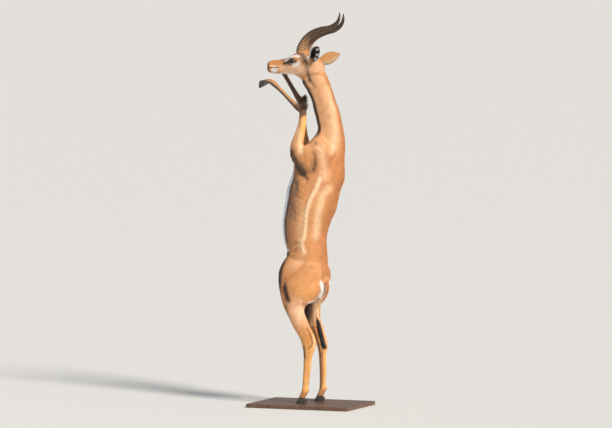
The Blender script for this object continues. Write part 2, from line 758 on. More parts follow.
# %% Swellings and folds of the body
TRUNK_MARKS = [  # path in the side view, width, how far out (+) or in (-)
    ([(-0.154, 1.425), (-0.123, 1.379), (-0.092, 1.328), (-0.055, 1.282)], 0.015, -0.0095),
    ([(0.031, 1.282), (0.006, 1.243), (-0.012, 1.214), (-0.037, 1.157), (-0.052, 1.072), (-0.058, 0.986),
      (-0.074, 0.929), (-0.068, 0.872)], 0.009, 0.0026),
    ([(0.012, 1.282), (-0.012, 1.236), (-0.031, 1.205), (-0.056, 1.150), (-0.071, 1.070), (-0.077, 0.986)],
     0.012, -0.0014),
    ([(0.092, 1.231), (0.068, 1.197), (0.049, 1.146), (0.040, 1.072), (0.037, 0.998)], 0.009, 0.0018),
    ([(-0.111, 1.254), (-0.108, 1.180)], 0.012, -0.0030),
    ([(-0.129, 1.111), (-0.123, 1.043)], 0.012, -0.0028),
    ([(-0.166, 0.872), (-0.135, 0.895), (-0.098, 0.912)], 0.011, -0.0060),
    ([(-0.117, 0.912), (-0.126, 0.861)], 0.012, -0.0035),
    ([(-0.050, 1.915), (-0.041, 1.881), (-0.034, 1.850), (-0.026, 1.831), (-0.014, 1.819)], 0.011, -0.0046),
    ([(0.010, 1.780), (0.036, 1.690), (0.055, 1.600), (0.060, 1.530)], 0.016, -0.0020),
    ([(0.030, 1.470), (0.052, 1.400), (0.045, 1.330)], 0.016, -0.0030),
]
ARM_MARKS = [
    ([(-0.006, 1.425), (0.001, 1.395), (0.003, 1.345)], 0.014, -0.0055),
    ([(-0.080, 1.374), (-0.061, 1.317)], 0.009, -0.0030),
    ([(-0.045, 1.440), (-0.040, 1.350)], 0.014, 0.0025),
    ([(-0.096, 1.520), (-0.088, 1.600)], 0.006, -0.0018),
]
HIND_MARKS = [
    ([(-0.166, 0.7005), (-0.141, 0.726), (-0.111, 0.749), (-0.086, 0.772), (-0.0615, 0.797)], 0.011, -0.0036),
    ([(-0.184, 0.680), (-0.178, 0.638), (-0.160, 0.587)], 0.011, -0.0090),
    ([(-0.110, 0.660), (-0.070, 0.640)], 0.050, 0.0040),
    ([(-0.070, 0.590), (-0.085, 0.520), (-0.080, 0.470)], 0.012, -0.0030),
    ([(-0.034, 0.420), (-0.027, 0.385), (-0.014, 0.345)], 0.006, -0.0042),
    ([(-0.071, 0.314), (-0.062, 0.268), (-0.060, 0.180)], 0.005, -0.0016),
]
MARKS_BY_PART = {"trunk": TRUNK_MARKS, "fore_left": ARM_MARKS, "fore_right": ARM_MARKS, "hind_left": HIND_MARKS,
                 "hind_right": HIND_MARKS}


def pressed(points, normals, parts):
    """The points after every mark of their part is pressed or raised along the normal. Marks fade
    where the skin faces forwards or backwards, because they are drawn in the side view."""
    s, z = side_view(points)
    sideways = smooth_step(np.abs(normals[:, 1]), 0.15, 0.55)
    move = np.zeros(len(points))
    for name, marks in MARKS_BY_PART.items():
        here = in_parts(parts, name)
        lift = FAR_ARM_RISE if name == "fore_right" else 0.0
        for path, width, height in marks:
            move[here] += height * stroke(s[here], z[here] - lift, path, width)
    ribs = 0.0003 * np.sin((z + 0.55 * points[:, 0]) * 2.0 * math.pi / 0.034)
    ribs *= spot(s, z, (-0.055, 1.13), (0.085, 0.14)) * in_parts(parts, "trunk")
    return points + normals * ((move + ribs) * sideways)[:, None]


set_points(skin, pressed(mesh_points(skin), mesh_normals(skin), skin_part))
print("pressed", len(TRUNK_MARKS) + len(ARM_MARKS) + len(HIND_MARKS), "marks into the skin")

# %% [markdown]
# ## The face: eyelids, mouth and nostrils
# An eyelid is skin drawn tight over the eyeball. So near each eye, every point is moved along the
# ray from the eye's middle: outside the almond opening to just over the ball, inside it to well
# below the ball, where the ball hides it. The mouth is a shallow groove between two soft lips.

# %% Directions at an eye
LID_HALF_WIDE = 0.0172
LID_HALF_HIGH = 0.0104
LID_THICK = 0.0022


def eye_axes(side):
    """Unit vectors out of the eye, towards the nose, and up, in the head's upright frame."""
    outward = unit(np.array([-0.30, side * 0.93, 0.10]))
    forward = np.array([-1.0, 0.0, -0.18])
    forward = unit(forward - forward @ outward * outward)
    return outward, forward, np.cross(outward, forward) * -side


def eyelids(points, side):
    """Skin over the eyeball. q = 1 is the edge of the almond opening."""
    centre = mirrored(EYE, side)
    outward, forward, upward = eye_axes(side)
    arm = points - centre
    out, along, up = arm @ outward, arm @ forward, arm @ upward
    q = np.hypot(along / LID_HALF_WIDE, up / LID_HALF_HIGH)
    reach = np.linalg.norm(arm, axis=1)
    wanted = np.where(q < 1.0, EYE_RADIUS * 0.82, EYE_RADIUS + LID_THICK)
    near = (1.0 - smooth_step(q, 1.25, 2.1)) * (out > 0.0) * (reach < 0.036)
    wanted = np.where(q >= 1.0, np.maximum(wanted, np.minimum(reach, wanted + 0.004)), wanted)
    target = centre + arm / np.maximum(reach, 1e-6)[:, None] * wanted[:, None]
    return points + (target - points) * near[:, None]


# %% Mouth and nostrils
MOUTH = [(-0.302, 1.9075), (-0.268, 1.9050), (-0.235, 1.9035), (-0.210, 1.9068)]
MOUTH_DEEP = 0.0020
NOSTRIL = np.array([-0.2795, 0.0135, 1.9310])
NOSTRIL_LEAN = math.radians(38.0)


def nostril_reach(points):
    """How many nostril sizes a point lies from the nearer nostril."""
    arm = points * (1.0, 0.0, 1.0) + np.abs(points) * (0.0, 1.0, 0.0) - NOSTRIL
    along = arm[:, 0] * math.cos(NOSTRIL_LEAN) - arm[:, 2] * math.sin(NOSTRIL_LEAN)
    across = arm[:, 0] * math.sin(NOSTRIL_LEAN) + arm[:, 2] * math.cos(NOSTRIL_LEAN)
    return np.sqrt((along / 0.0082) ** 2 + (across / 0.0030) ** 2 + (arm[:, 1] / 0.0080) ** 2)


def mouth_reach(points):
    """Distance from the line of the lips, in the head's side view."""
    return line_distance(points[:, 0], points[:, 2], MOUTH)


def muzzle_move(points):
    """Groove of the mouth, the lips' swell above and below it, and the nostrils' hollows."""
    mouth = mouth_reach(points)
    groove = -MOUTH_DEEP * np.exp(-(mouth / 0.0015) ** 2) + 0.0009 * np.exp(-((mouth - 0.0048) / 0.0024) ** 2)
    hole = -0.0045 * np.exp(-(nostril_reach(points) / 0.85) ** 4)
    wing = 0.0012 * np.exp(-((nostril_reach(points) - 1.5) / 0.5) ** 2)
    return (groove + hole + wing) * (points[:, 0] < -0.19)


fine = on_head(mesh_points(skin)) & in_parts(skin_part, "head", "trunk")
upright = placed(mesh_points(skin)[fine], HEAD_TURN_BACK)
upright = upright + turned(mesh_normals(skin)[fine], HEAD_TURN_BACK) * muzzle_move(upright)[:, None]
for _, side in SIDES:
    upright = eyelids(upright, side)
all_points = mesh_points(skin)
all_points[fine] = placed(upright, HEAD_TURN)
set_points(skin, all_points)
print("lids, lips and nostrils on", int(fine.sum()), "points")


# %% [markdown]
# ## The coat's colours
# A gerenuk is red-brown along the back, paler down its sides, and white below and behind. The
# colours are worked out from each point's place and facing, by soft strokes and spots, and kept on
# the mesh as a colour attribute. The short fur takes its colours from the same function, so that
# skin and coat can't disagree.
#
# Not every stroke is a marking of the species. The dark strips down the throat, beside the belly,
# at the elbow and on the thighs are shade, the pale lines are shine, and the belly's blue tone is
# cool light on white hair. They are painted in, so they stay where they are when the lamps move.

# %% Named colours, as red, green and blue shares of light
TAN = (0.640, 0.288, 0.110)
RED_BROWN = (0.480, 0.175, 0.052)
PALE = (0.860, 0.560, 0.320)
CREAM = (0.900, 0.640, 0.400)
WHITE = (0.880, 0.830, 0.760)
SHADE_BROWN = (0.250, 0.110, 0.050)
DARK_BROWN = (0.075, 0.042, 0.028)
KNEE_BROWN = (0.105, 0.052, 0.033)
GOLD = (0.860, 0.420, 0.120)
MAROON = (0.110, 0.024, 0.012)
COOL_WHITE = (0.800, 0.840, 0.900)
PINK_TAN = (0.900, 0.560, 0.360)
CHEEK_TAN = (0.950, 0.600, 0.360)
EDGE_BROWN = (0.050, 0.024, 0.018)
NECK_BROWN = (0.072, 0.028, 0.013)
RUFOUS = (0.520, 0.190, 0.050)
GREY_BROWN = (0.130, 0.095, 0.070)
WARM_GREY = (0.260, 0.180, 0.130)
ALMOST_BLACK = (0.007, 0.006, 0.006)


def tinted(colours, other, amount):
    """Each colour moved its own amount of the way to another."""
    return colours + (np.asarray(other) - colours) * np.clip(amount, 0.0, 1.0)[:, None]


def layered(colours, layers):
    """Colours tinted by one layer after the other. A layer is a colour and an amount per point."""
    for other, amount in layers:
        colours = tinted(colours, other, amount)
    return colours


def plain(colour, count):
    """One colour for each of many points."""
    return np.tile(colour, (count, 1))


def strongest(*amounts, limit=1.0):
    """The largest of several amounts at each point, up to a limit."""
    return np.minimum(np.maximum.reduce(amounts), limit)


# %% Lines of the body, in the side view
PALE_LINES = (  # path, share, width: flank, back, shoulder, neck
    ([(0.037, 1.286), (0.014, 1.228), (-0.013, 1.186), (-0.037, 1.129), (-0.052, 1.072), (-0.055, 1.000),
      (-0.059, 0.952), (-0.080, 0.923), (-0.078, 0.908), (-0.059, 0.866)], 0.95, 0.0135),
    ([(0.091, 1.231), (0.055, 1.192), (0.037, 1.135), (0.025, 1.078), (0.020, 1.020), (0.012, 0.960)],
     0.60, 0.024),
    ([(0.043, 1.454), (0.058, 1.380), (0.068, 1.300)], 0.45, 0.024),
    ([(0.092, 1.800), (0.117, 1.680), (0.129, 1.550), (0.117, 1.440)], 0.45, 0.022),
)
CRESCENT = [(0.043, 0.698), (0.052, 0.676), (0.053, 0.650), (0.042, 0.621), (0.021, 0.598), (0.000, 0.585),
            (-0.026, 0.577)]
ELBOW_FOLD = [(-0.140, 1.424), (-0.117, 1.390), (-0.099, 1.361), (-0.080, 1.333), (-0.065, 1.313),
              (-0.065, 1.285)]
ARM_FURROW = [(-0.014, 1.454), (-0.004, 1.424), (0.002, 1.396), (0.004, 1.372), (0.001, 1.340)]
ARM_SHADE = [(-0.006, 1.475), (0.008, 1.400), (0.004, 1.330)]
FIRST_RIB, SECOND_RIB = [(-0.111, 1.262), (-0.120, 1.185)], [(-0.136, 1.145), (-0.141, 1.060)]
THIGH_EDGE = [(-0.166, 0.854), (-0.1845, 0.820), (-0.200, 0.786), (-0.209, 0.752), (-0.215, 0.712),
              (-0.215, 0.672), (-0.209, 0.643)]
THIGH_ARC = [(-0.166, 0.7005), (-0.141, 0.726), (-0.111, 0.749), (-0.086, 0.772), (-0.0615, 0.797)]
THIGH_SHINE = [(-0.130, 0.785), (-0.090, 0.810)]
WEDGE = [(-0.1826, 0.666), (-0.178, 0.638), (-0.169, 0.609), (-0.160, 0.587)]
WEDGE_BELOW, WEDGE_ABOVE = [(-0.169, 0.575), (-0.166, 0.490)], [(-0.176, 0.712), (-0.1815, 0.666)]
FOREARM_SHINE = [(-0.097, 1.560), (-0.087, 1.495), (-0.080, 1.440)]
FOREARM_GROOVE = [(-0.079, 1.645), (-0.086, 1.600), (-0.096, 1.555), (-0.110, 1.500)]
BUTTOCK_SPREAD = 0.022
KNEES = ((-0.034, -0.095, 1.680), (-0.110, 0.091, 1.712))
FAR_KNEE_STEP = 0.075
LEG_STROKES = (  # colour, share, path, width
    (SHADE_BROWN, 0.85, [(-0.043, 0.433), (-0.025, 0.404), (-0.012, 0.376), (-0.007, 0.353), (-0.018, 0.330),
                         (-0.034, 0.316)], 0.0066),
    (RUFOUS, 0.50, [(-0.034, 0.395), (-0.026, 0.345)], 0.0120),
    (PALE, 0.60, [(-0.003, 0.398), (0.000, 0.330)], 0.0070),
    (EDGE_BROWN, 0.80, [(-0.062, 0.326), (-0.056, 0.262)], 0.0070),
    (SHADE_BROWN, 0.55, [(-0.072, 0.240), (-0.078, 0.100)], 0.0060),
    (SHADE_BROWN, 0.45, [(-0.032, 0.296), (-0.034, 0.110)], 0.0042),
)
FAR_LEG_STROKES = (  # the same, but the path's first number is x
    (EDGE_BROWN, 0.88, [(-0.032, 0.428), (-0.015, 0.388), (-0.002, 0.343), (0.010, 0.297), (0.014, 0.263)],
     0.0075),
    (EDGE_BROWN, 0.80, [(0.014, 0.263), (0.0155, 0.080)], 0.0075),
    (EDGE_BROWN, 0.80, [(0.0275, 0.290), (0.0275, 0.100)], 0.0030),
)


# %% Soft measures that the layers are made of
class Marks:
    """Where many points lie and which way they face, as soft shares from 0 to 1."""

    def __init__(self, points, normals, parts):
        self.points, self.parts = points, parts
        self.s, self.z = side_view(points)
        self.x, self.y = points[:, 0], points[:, 1]
        self.facing, self.sideways, self.upward = normals.T
        self.trunk, self.tail = in_parts(parts, "trunk"), in_parts(parts, "tail")
        self.hind = in_parts(parts, "hind_left", "hind_right")
        self.fore = in_parts(parts, "fore_left", "fore_right")
        self.inner = smooth_step(-self.sideways * np.sign(self.y), 0.15, 0.75)
        self.side = (self.trunk | self.fore) * self.aside(0.2, 0.5)
        self.middle = 1.0 - 0.85 * self.ahead(0.93, 0.985)
        self.off_middle = smooth_step(np.abs(self.y), 0.026, 0.050)

    def ahead(self, low, high):
        """Grows as the skin faces forwards."""
        return smooth_step(-self.facing, low, high)

    def behind(self, low, high):
        """Grows as the skin faces backwards."""
        return smooth_step(self.facing, low, high)

    def aside(self, low, high):
        """Grows as the skin faces to either side."""
        return smooth_step(np.abs(self.sideways), low, high)

    def rise(self, low, high):
        """0 below the height low and 1 above high."""
        return smooth_step(self.z, low, high)

    def fall(self, low, high):
        """1 below the height low and 0 above high."""
        return 1.0 - smooth_step(self.z, low, high)

    def line(self, path, width):
        """A soft stroke in the side view."""
        return stroke(self.s, self.z, path, width)

    def oval(self, centre, radii, edge=0.6):
        """A soft oval in the side view."""
        return spot(self.s, self.z, centre, radii, edge)


# %% Layers of the trunk and neck
def trunk_layers(m):
    """Redder to the back, browner to the belly, with pale lines and a white underside."""
    back = m.behind(0.25, 0.85) * (m.trunk | (m.fore & (m.z < 1.46))) * m.rise(0.70, 0.85)
    front = smooth_step(-m.s, 0.060, 0.160) * m.trunk * (m.z < 1.32) * (m.z > 0.86)
    edge = 0.56 + 0.08 * m.fall(1.05, 1.20) + 0.16 * m.rise(1.27, 1.34)
    belly = m.ahead(edge, edge + 0.07) * m.trunk * m.rise(0.66, 0.72) * m.fall(1.44, 1.52)
    beside = m.trunk * (1.0 - belly) * m.fall(1.26, 1.34) * m.rise(0.88, 0.94)
    return [
        (RED_BROWN, 0.74 * back * (1.0 - 0.55 * m.rise(1.35, 1.62))),
        (SHADE_BROWN, 0.42 * front),
        *((CREAM, share * m.line(path, width) * m.side) for path, share, width in PALE_LINES),
        (PALE, 0.30 * m.side * m.oval((-0.083, 1.035), (0.030, 0.125), 0.5)),
        (PALE, 0.38 * m.aside(0.3, 0.9) * (m.trunk | m.fore) * m.rise(1.40, 1.55)),
        (RUFOUS, 0.30 * m.trunk * m.behind(0.45, 0.85) * m.rise(1.50, 1.60)),
        (CREAM, 0.50 * m.trunk * m.oval((0.043, 1.904), (0.040, 0.036))),
        (NECK_BROWN, 0.92 * m.ahead(0.20, 0.40) * m.trunk * m.rise(1.50, 1.56) * m.middle),
        (SHADE_BROWN, 0.30 * m.trunk * m.oval((0.004, 1.812), (0.018, 0.016))),
        (GREY_BROWN, 0.40 * beside * m.ahead(0.20, 0.50)),
        (DARK_BROWN, 0.78 * beside * m.ahead(edge - 0.20, edge - 0.08)),
        (COOL_WHITE, belly),
    ]


def shoulder_layers(m):
    """The dark fold under the elbow, the furrow behind the upper arm, and shade between the ribs."""
    near = m.trunk | m.fore
    fold = strongest(1.6 * m.line(ELBOW_FOLD[:4], 0.0200), 1.5 * m.line(ELBOW_FOLD[2:5], 0.0210),
                     0.6 * m.line(ELBOW_FOLD[4:], 0.0130))
    fold = np.maximum(0.92 * fold, 0.45 * m.line(ELBOW_FOLD[:5], 0.034))
    furrow = strongest(m.line(ARM_FURROW[2:], 0.0140), 0.45 * m.line(ARM_FURROW[1:], 0.0120),
                       0.75 * m.oval((0.012, 1.488), (0.012, 0.012)))
    ribs = strongest(m.line(FIRST_RIB, 0.013), m.line(SECOND_RIB, 0.012))
    return [
        (DARK_BROWN, fold * np.where(m.trunk, m.off_middle, m.fore)),
        (SHADE_BROWN, 0.34 * m.line(ARM_SHADE, 0.026) * near),
        (SHADE_BROWN, 0.94 * furrow * near),
        (DARK_BROWN, 0.60 * m.line(ARM_FURROW[3:], 0.0085) * near),
        (SHADE_BROWN, 0.30 * m.side * m.oval((-0.110, 1.160), (0.030, 0.110))),
        (GREY_BROWN, 0.74 * ribs * m.side),
    ]


# %% Layers of the hind legs and the rump
def hind_layers(m):
    """Golden legs, dark edges on the thigh, and the strokes of tendons and bones."""
    outside, outer = m.hind * (1.0 - m.inner), (m.hind | m.trunk) * (1.0 - m.inner)
    edge = strongest(1.5 * m.line(THIGH_EDGE, 0.0130), limit=0.94) * m.middle
    edge = edge * np.where(m.trunk, m.off_middle, 1.0)
    wedge = strongest(1.5 * m.line(WEDGE, 0.0125), 0.45 * m.line(WEDGE_BELOW, 0.0090),
                      0.40 * m.line(WEDGE_ABOVE, 0.0120), limit=0.94)
    far = in_parts(m.parts, "hind_right") * (1.0 - smooth_step(m.sideways, 0.20, 0.60))
    return [
        (GOLD, 0.30 * m.hind * m.oval((-0.050, 0.655), (0.085, 0.085))),
        (PALE, 0.40 * outer * m.line(THIGH_SHINE, 0.030)),
        (RUFOUS, 0.66 * outer * m.line(THIGH_ARC, 0.0085)),
        (SHADE_BROWN, 0.55 * m.hind * m.ahead(0.48, 0.85) * m.rise(0.46, 0.56)),
        (EDGE_BROWN, (m.hind | m.trunk) * edge * m.rise(0.610, 0.690)),
        (EDGE_BROWN, wedge * outside),
        (PINK_TAN, 0.66 * outside * m.oval((-0.100, 0.525), (0.055, 0.080))),
        (GOLD, 0.60 * m.hind * m.fall(0.36, 0.46)),
        (RUFOUS, 0.45 * m.hind * m.oval((-0.040, 0.375), (0.034, 0.040))),
        *((tint, share * outside * m.line(path, width)) for tint, share, path, width in LEG_STROKES),
        *((tint, share * far * stroke(m.x, m.z, path, width)) for tint, share, path, width in FAR_LEG_STROKES),
        (GREY_BROWN, 0.55 * m.hind * m.ahead(0.60, 0.90) * m.fall(0.36, 0.42)),
    ]


def inner_thigh_layers(m):
    """Pale skin inside the thighs, with deep shade where they meet the lower leg."""
    within = m.hind * m.inner * m.rise(0.42, 0.50)
    shadow = within * m.fall(0.575, 0.640)
    deep = np.maximum(1.0 - smooth_step(m.x, -0.058, -0.040),
                      m.rise(0.540, 0.562) * (1.0 - smooth_step(m.x, -0.040, -0.020)))
    return [
        (PALE, 0.60 * within),
        (CREAM, 0.60 * within * smooth_step(m.x, -0.022, -0.006)),
        (DARK_BROWN, 0.82 * shadow * (1.0 - smooth_step(m.x, -0.036, -0.012))),
        (ALMOST_BLACK, 0.88 * shadow * deep),
    ]


def rump_layers(m):
    """The white crescent of each buttock and the cleft between them."""
    rear = smooth_step(m.x, 0.012, 0.040) * m.rise(0.555, 0.580) * m.fall(0.690, 0.715)
    patch = (1.0 - smooth_step(np.abs(m.y), BUTTOCK_SPREAD - 0.003, BUTTOCK_SPREAD + 0.004)) * rear
    crescent = strongest(1.5 * m.line(CRESCENT, 0.0085)) * (1.0 - m.inner)
    return [
        (PALE, 0.55 * patch * ~m.tail),
        (WHITE, crescent * (m.hind | m.trunk)),
        (RUFOUS, 0.60 * (1.0 - smooth_step(np.abs(m.y), 0.003, 0.010)) * rear),
    ]


# %% Layers of the forelegs, feet and tail
def fore_layers(m):
    """Golden forelegs with dark knees, and cannons dark below and in front."""
    step = np.where(m.y > 0.0, FAR_KNEE_STEP, 0.0)
    past_knee = m.fore * smooth_step(-(m.x + step), 0.045, 0.070) * (m.z > 1.66)
    reaches = [np.linalg.norm(m.points - knee, axis=1) for knee in KNEES]
    return [
        (GOLD, 0.34 * m.fore * m.rise(1.46, 1.58)),
        (GOLD, 0.80 * m.fore * m.rise(1.46, 1.54) * m.behind(0.05, 0.60)),
        (SHADE_BROWN, 0.35 * m.fore * m.inner * m.rise(1.40, 1.46)),
        (CREAM, 0.62 * m.fore * m.line(FOREARM_SHINE, 0.017)),
        (SHADE_BROWN, 0.60 * m.line(FOREARM_GROOVE, 0.0045) * m.fore),
        (SHADE_BROWN, 0.75 * m.fore * m.ahead(0.72, 0.95) * (m.z < 1.64)),
        (GREY_BROWN, 0.55 * past_knee),
        (DARK_BROWN, 0.90 * past_knee * np.maximum(smooth_step(-m.upward, -0.45, 0.15), m.inner)),
        *((KNEE_BROWN, 0.95 * m.fore * (1.0 - smooth_step(reach, 0.036, 0.060))) for reach in reaches),
    ]


def end_layers(m):
    """Darker fetlocks, and a tail that is brown, then cream, then dark at its tuft."""
    return [
        (SHADE_BROWN, 0.55 * m.hind * m.fall(0.045, 0.085)),
        (RED_BROWN, 0.50 * m.tail),
        (CREAM, 0.60 * m.tail * m.fall(0.575, 0.600)),
        (DARK_BROWN, 0.90 * m.tail * m.fall(0.482, 0.500)),
    ]


def body_colours(points, normals, parts):
    """Tan all over, then the layers of each region in turn."""
    marks = Marks(points, normals, parts)
    colours = plain(TAN, len(points))
    for layers in (trunk_layers, shoulder_layers, hind_layers, inner_thigh_layers, rump_layers, fore_layers,
                   end_layers):
        colours = layered(colours, layers(marks))
    return colours


# %% Colours of the head
FACE_STROKES = (  # colour, share, path in the head's side view, width
    (WARM_GREY, 0.62, [(-0.074, 1.972), (-0.052, 1.955)], 0.0240),
    (GREY_BROWN, 0.80, [(-0.072, 1.976), (-0.066, 1.962), (-0.057, 1.945)], 0.0135),
    (GREY_BROWN, 0.70, [(-0.050, 1.942), (-0.046, 1.924)], 0.0085),
    (WHITE, 0.55, [(-0.041, 1.969), (-0.035, 1.943)], 0.0060),
    (GREY_BROWN, 0.60, [(-0.096, 1.982), (-0.088, 1.980)], 0.0080),
    (MAROON, 0.88, [(-0.206, 1.9548), (-0.180, 1.9610), (-0.163, 1.9680), (-0.138, 1.9770), (-0.123, 1.9850)],
     0.0058),
    (WHITE, 0.70, [(-0.146, 1.9650), (-0.126, 1.9715), (-0.108, 1.9735)], 0.0062),
    (WHITE, 0.95, [(-0.110, 1.9735), (-0.097, 1.9700)], 0.0070),
    (GREY_BROWN, 0.60, [(-0.156, 1.9215), (-0.132, 1.9200)], 0.0065),
    (WHITE, 0.95, [(-0.122, 1.9165), (-0.106, 1.9195), (-0.096, 1.9320)], 0.0105),
    (COOL_WHITE, 0.95, [(-0.176, 1.9450), (-0.169, 1.9530), (-0.157, 1.9600), (-0.146, 1.9640)], 0.0062),
    (ALMOST_BLACK, 0.97, [(-0.184, 1.9290), (-0.172, 1.9325), (-0.150, 1.9390)], 0.0105),
    (ALMOST_BLACK, 0.95, [(-0.145, 1.9405), (-0.116, 1.9410)], 0.0125),
)
JAW_CREASES = (  # share, path in the side view, width
    (1.00, [(-0.042, 1.890), (-0.036, 1.858), (-0.029, 1.838)], 0.0120),
    (0.45, [(-0.046, 1.915), (-0.042, 1.890)], 0.0080),
    (0.50, [(-0.029, 1.838), (-0.012, 1.820)], 0.0080),
)


def face_colours(points, normals):
    """Marks of the face, in the head's upright frame and its own side view."""
    s, z = side_view(points)
    x, wide = points[:, 0], np.abs(points[:, 1])
    bridge = (smooth_step(z, 1.9150, 1.9260) * smooth_step(-x, 0.120, 0.150)
              * (1.0 - smooth_step(-x, 0.262, 0.280)))
    nose = smooth_step(-x, 0.264, 0.274) * (1.0 - smooth_step(z, 1.926, 1.938))
    reach = np.linalg.norm(np.stack([x - EYE[0], wide - EYE[1], z - EYE[2]], axis=1), axis=1)
    return layered(plain(TAN, len(points)), [
        (RUFOUS, bridge * (0.88 - 0.40 * smooth_step(-x, 0.165, 0.225))),
        (RUFOUS, 0.35 * smooth_step(z, 1.970, 1.990) * smooth_step(-x, -0.02, 0.02)),
        (CHEEK_TAN, 0.85 * spot(s, z, (-0.112, 1.898), (0.100, 0.032), 0.5)),
        (CREAM, 0.50 * spot(s, z, (0.042, 1.905), (0.045, 0.036), 0.6)),
        *((tint, share * stroke(s, z, path, width)) for tint, share, path, width in FACE_STROKES),
        (WHITE, 0.95 * spot(s, z, (-0.2435, 1.8925), (0.0200, 0.0185))),
        (PALE, 0.60 * spot(s, z, (-0.255, 1.9150), (0.026, 0.0060))),
        (ALMOST_BLACK, 0.90 * np.exp(-(nostril_reach(points) / 1.15) ** 4)),
        (DARK_BROWN, 0.88 * nose),
        (DARK_BROWN, 0.90 * np.exp(-(mouth_reach(points) / 0.0024) ** 2) * (x < -0.205)),
        (WHITE, 0.65 * smooth_step(-normals[:, 2], 0.55, 0.90) * (x > -0.20)),
        (ALMOST_BLACK, 0.95 * (1.0 - smooth_step(reach, EYE_RADIUS * 0.9, EYE_RADIUS))),
    ])


def coat_colours(points, normals, parts):
    """Colours of any points on the skin, in the animal's own frame."""
    colours = body_colours(points, normals, parts)
    trunk = in_parts(parts, "trunk")
    head = in_parts(parts, "head") | (on_head(points) & trunk)
    share = smooth_step((points[head] - HEAD_BACK) @ HEAD_WAY, -0.030, 0.010)
    face = face_colours(placed(points[head], HEAD_TURN_BACK), turned(normals[head], HEAD_TURN_BACK))
    colours[head] += (face - colours[head]) * share[:, None]
    s, z = side_view(points)
    jaw = strongest(*(amount * stroke(s, z, path, width) for amount, path, width in JAW_CREASES))
    return tinted(colours, DARK_BROWN, 0.80 * jaw * (head | trunk))

# %% [markdown]
# ## Finishes
# Every finish is a set of shader nodes. Real hair is never one flat colour: it has fine streaks
# along its lie, and broader patches where the coat is thicker or dustier. Both come from noise
# read in the model's own coordinates. The streaks are long and thin because the coordinates are
# scaled differently along and across the hair. One group makes this grain for every hairy finish.

# %% Small helpers for shader nodes
def new_material(name):
    """An empty material with its shader, ready for nodes."""
    made = bpy.data.materials.new(name)
    made.use_nodes = True
    return made


def base_shader(made):
    """The material's own shader node."""
    return made.node_tree.nodes["Principled BSDF"]


def noise(tree, vector, scale, detail, roughness=0.55):
    """A noise texture node that reads this vector."""
    node = tree.nodes.new("ShaderNodeTexNoise")
    node.inputs["Scale"].default_value = scale
    node.inputs["Detail"].default_value = detail
    node.inputs["Roughness"].default_value = roughness
    tree.links.new(vector, node.inputs["Vector"])
    return node.outputs["Fac"]


def mapped(tree, value, low, high, new_low, new_high):
    """A value moved from one range to another."""
    node = tree.nodes.new("ShaderNodeMapRange")
    for place, number in zip(("From Min", "From Max", "To Min", "To Max"), (low, high, new_low, new_high)):
        node.inputs[place].default_value = number
    tree.links.new(value, node.inputs["Value"])
    return node.outputs["Result"]


def colour_mix(tree, amount, first, second):
    """Two colours mixed. Each may be a socket or a colour, and the amount is a socket."""
    node = tree.nodes.new("ShaderNodeMix")
    node.data_type = "RGBA"
    for place, value in ((0, amount), (6, first), (7, second)):
        if isinstance(value, bpy.types.NodeSocket):
            tree.links.new(value, node.inputs[place])
        else:
            node.inputs[place].default_value = (*value, 1.0)
    return node.outputs[2]


# %% The hair grain group
def hair_grain_group():
    """Streaks along the hair and broad patches, from coordinates already scaled to the hair's lie."""
    tree = bpy.data.node_groups.new("hair_grain", "ShaderNodeTree")
    for name, way, kind in (("Along", "INPUT", "Vector"), ("Place", "INPUT", "Vector"),
                            ("Streak", "OUTPUT", "Float"), ("Patch", "OUTPUT", "Float")):
        tree.interface.new_socket(name, in_out=way, socket_type="NodeSocket" + kind)
    start, end = tree.nodes.new("NodeGroupInput"), tree.nodes.new("NodeGroupOutput")
    tree.links.new(noise(tree, start.outputs["Along"], 1.0, 3.0), end.inputs["Streak"])
    tree.links.new(noise(tree, start.outputs["Place"], 26.0, 4.0, 0.6), end.inputs["Patch"])
    return tree


HAIR_GRAIN = hair_grain_group()


def hair_grain(tree, across, along, lean=(0.0, 0.0, 0.0)):
    """The grain's streak and patch sockets, for hair that lies along Z once turned by lean."""
    place = tree.nodes.new("ShaderNodeTexCoord").outputs["Object"]
    stretch = tree.nodes.new("ShaderNodeMapping")
    stretch.inputs["Rotation"].default_value = lean
    stretch.inputs["Scale"].default_value = (across, across, along)
    tree.links.new(place, stretch.inputs["Vector"])
    group = tree.nodes.new("ShaderNodeGroup")
    group.node_tree = HAIR_GRAIN
    tree.links.new(stretch.outputs["Vector"], group.inputs["Along"])
    tree.links.new(place, group.inputs["Place"])
    return group.outputs["Streak"], group.outputs["Patch"]


def relief(made, height, strength, distance):
    """Fine relief of a finish, from a socket that says how high each place is."""
    node = made.node_tree.nodes.new("ShaderNodeBump")
    node.inputs["Strength"].default_value = strength
    node.inputs["Distance"].default_value = distance
    made.node_tree.links.new(height, node.inputs["Height"])
    made.node_tree.links.new(node.outputs["Normal"], base_shader(made).inputs["Normal"])


def mesh_tint(made, brightness):
    """The base colour is the colour kept on the mesh, times a brightness socket."""
    tree = made.node_tree
    tint = tree.nodes.new("ShaderNodeAttribute")
    tint.attribute_name = "tint"
    colour = tree.nodes.new("ShaderNodeVectorMath")
    colour.operation = "SCALE"
    tree.links.new(tint.outputs["Color"], colour.inputs[0])
    tree.links.new(brightness, colour.inputs["Scale"])
    tree.links.new(colour.outputs[0], base_shader(made).inputs["Base Color"])


def roughened(made, grain, low, high):
    """Roughness from low to high along a grain socket."""
    share = mapped(made.node_tree, grain, 0.30, 0.70, low, high)
    made.node_tree.links.new(share, base_shader(made).inputs["Roughness"])


# %% The coat's finish
HAIR_ACROSS, HAIR_ALONG = 260.0, 42.0


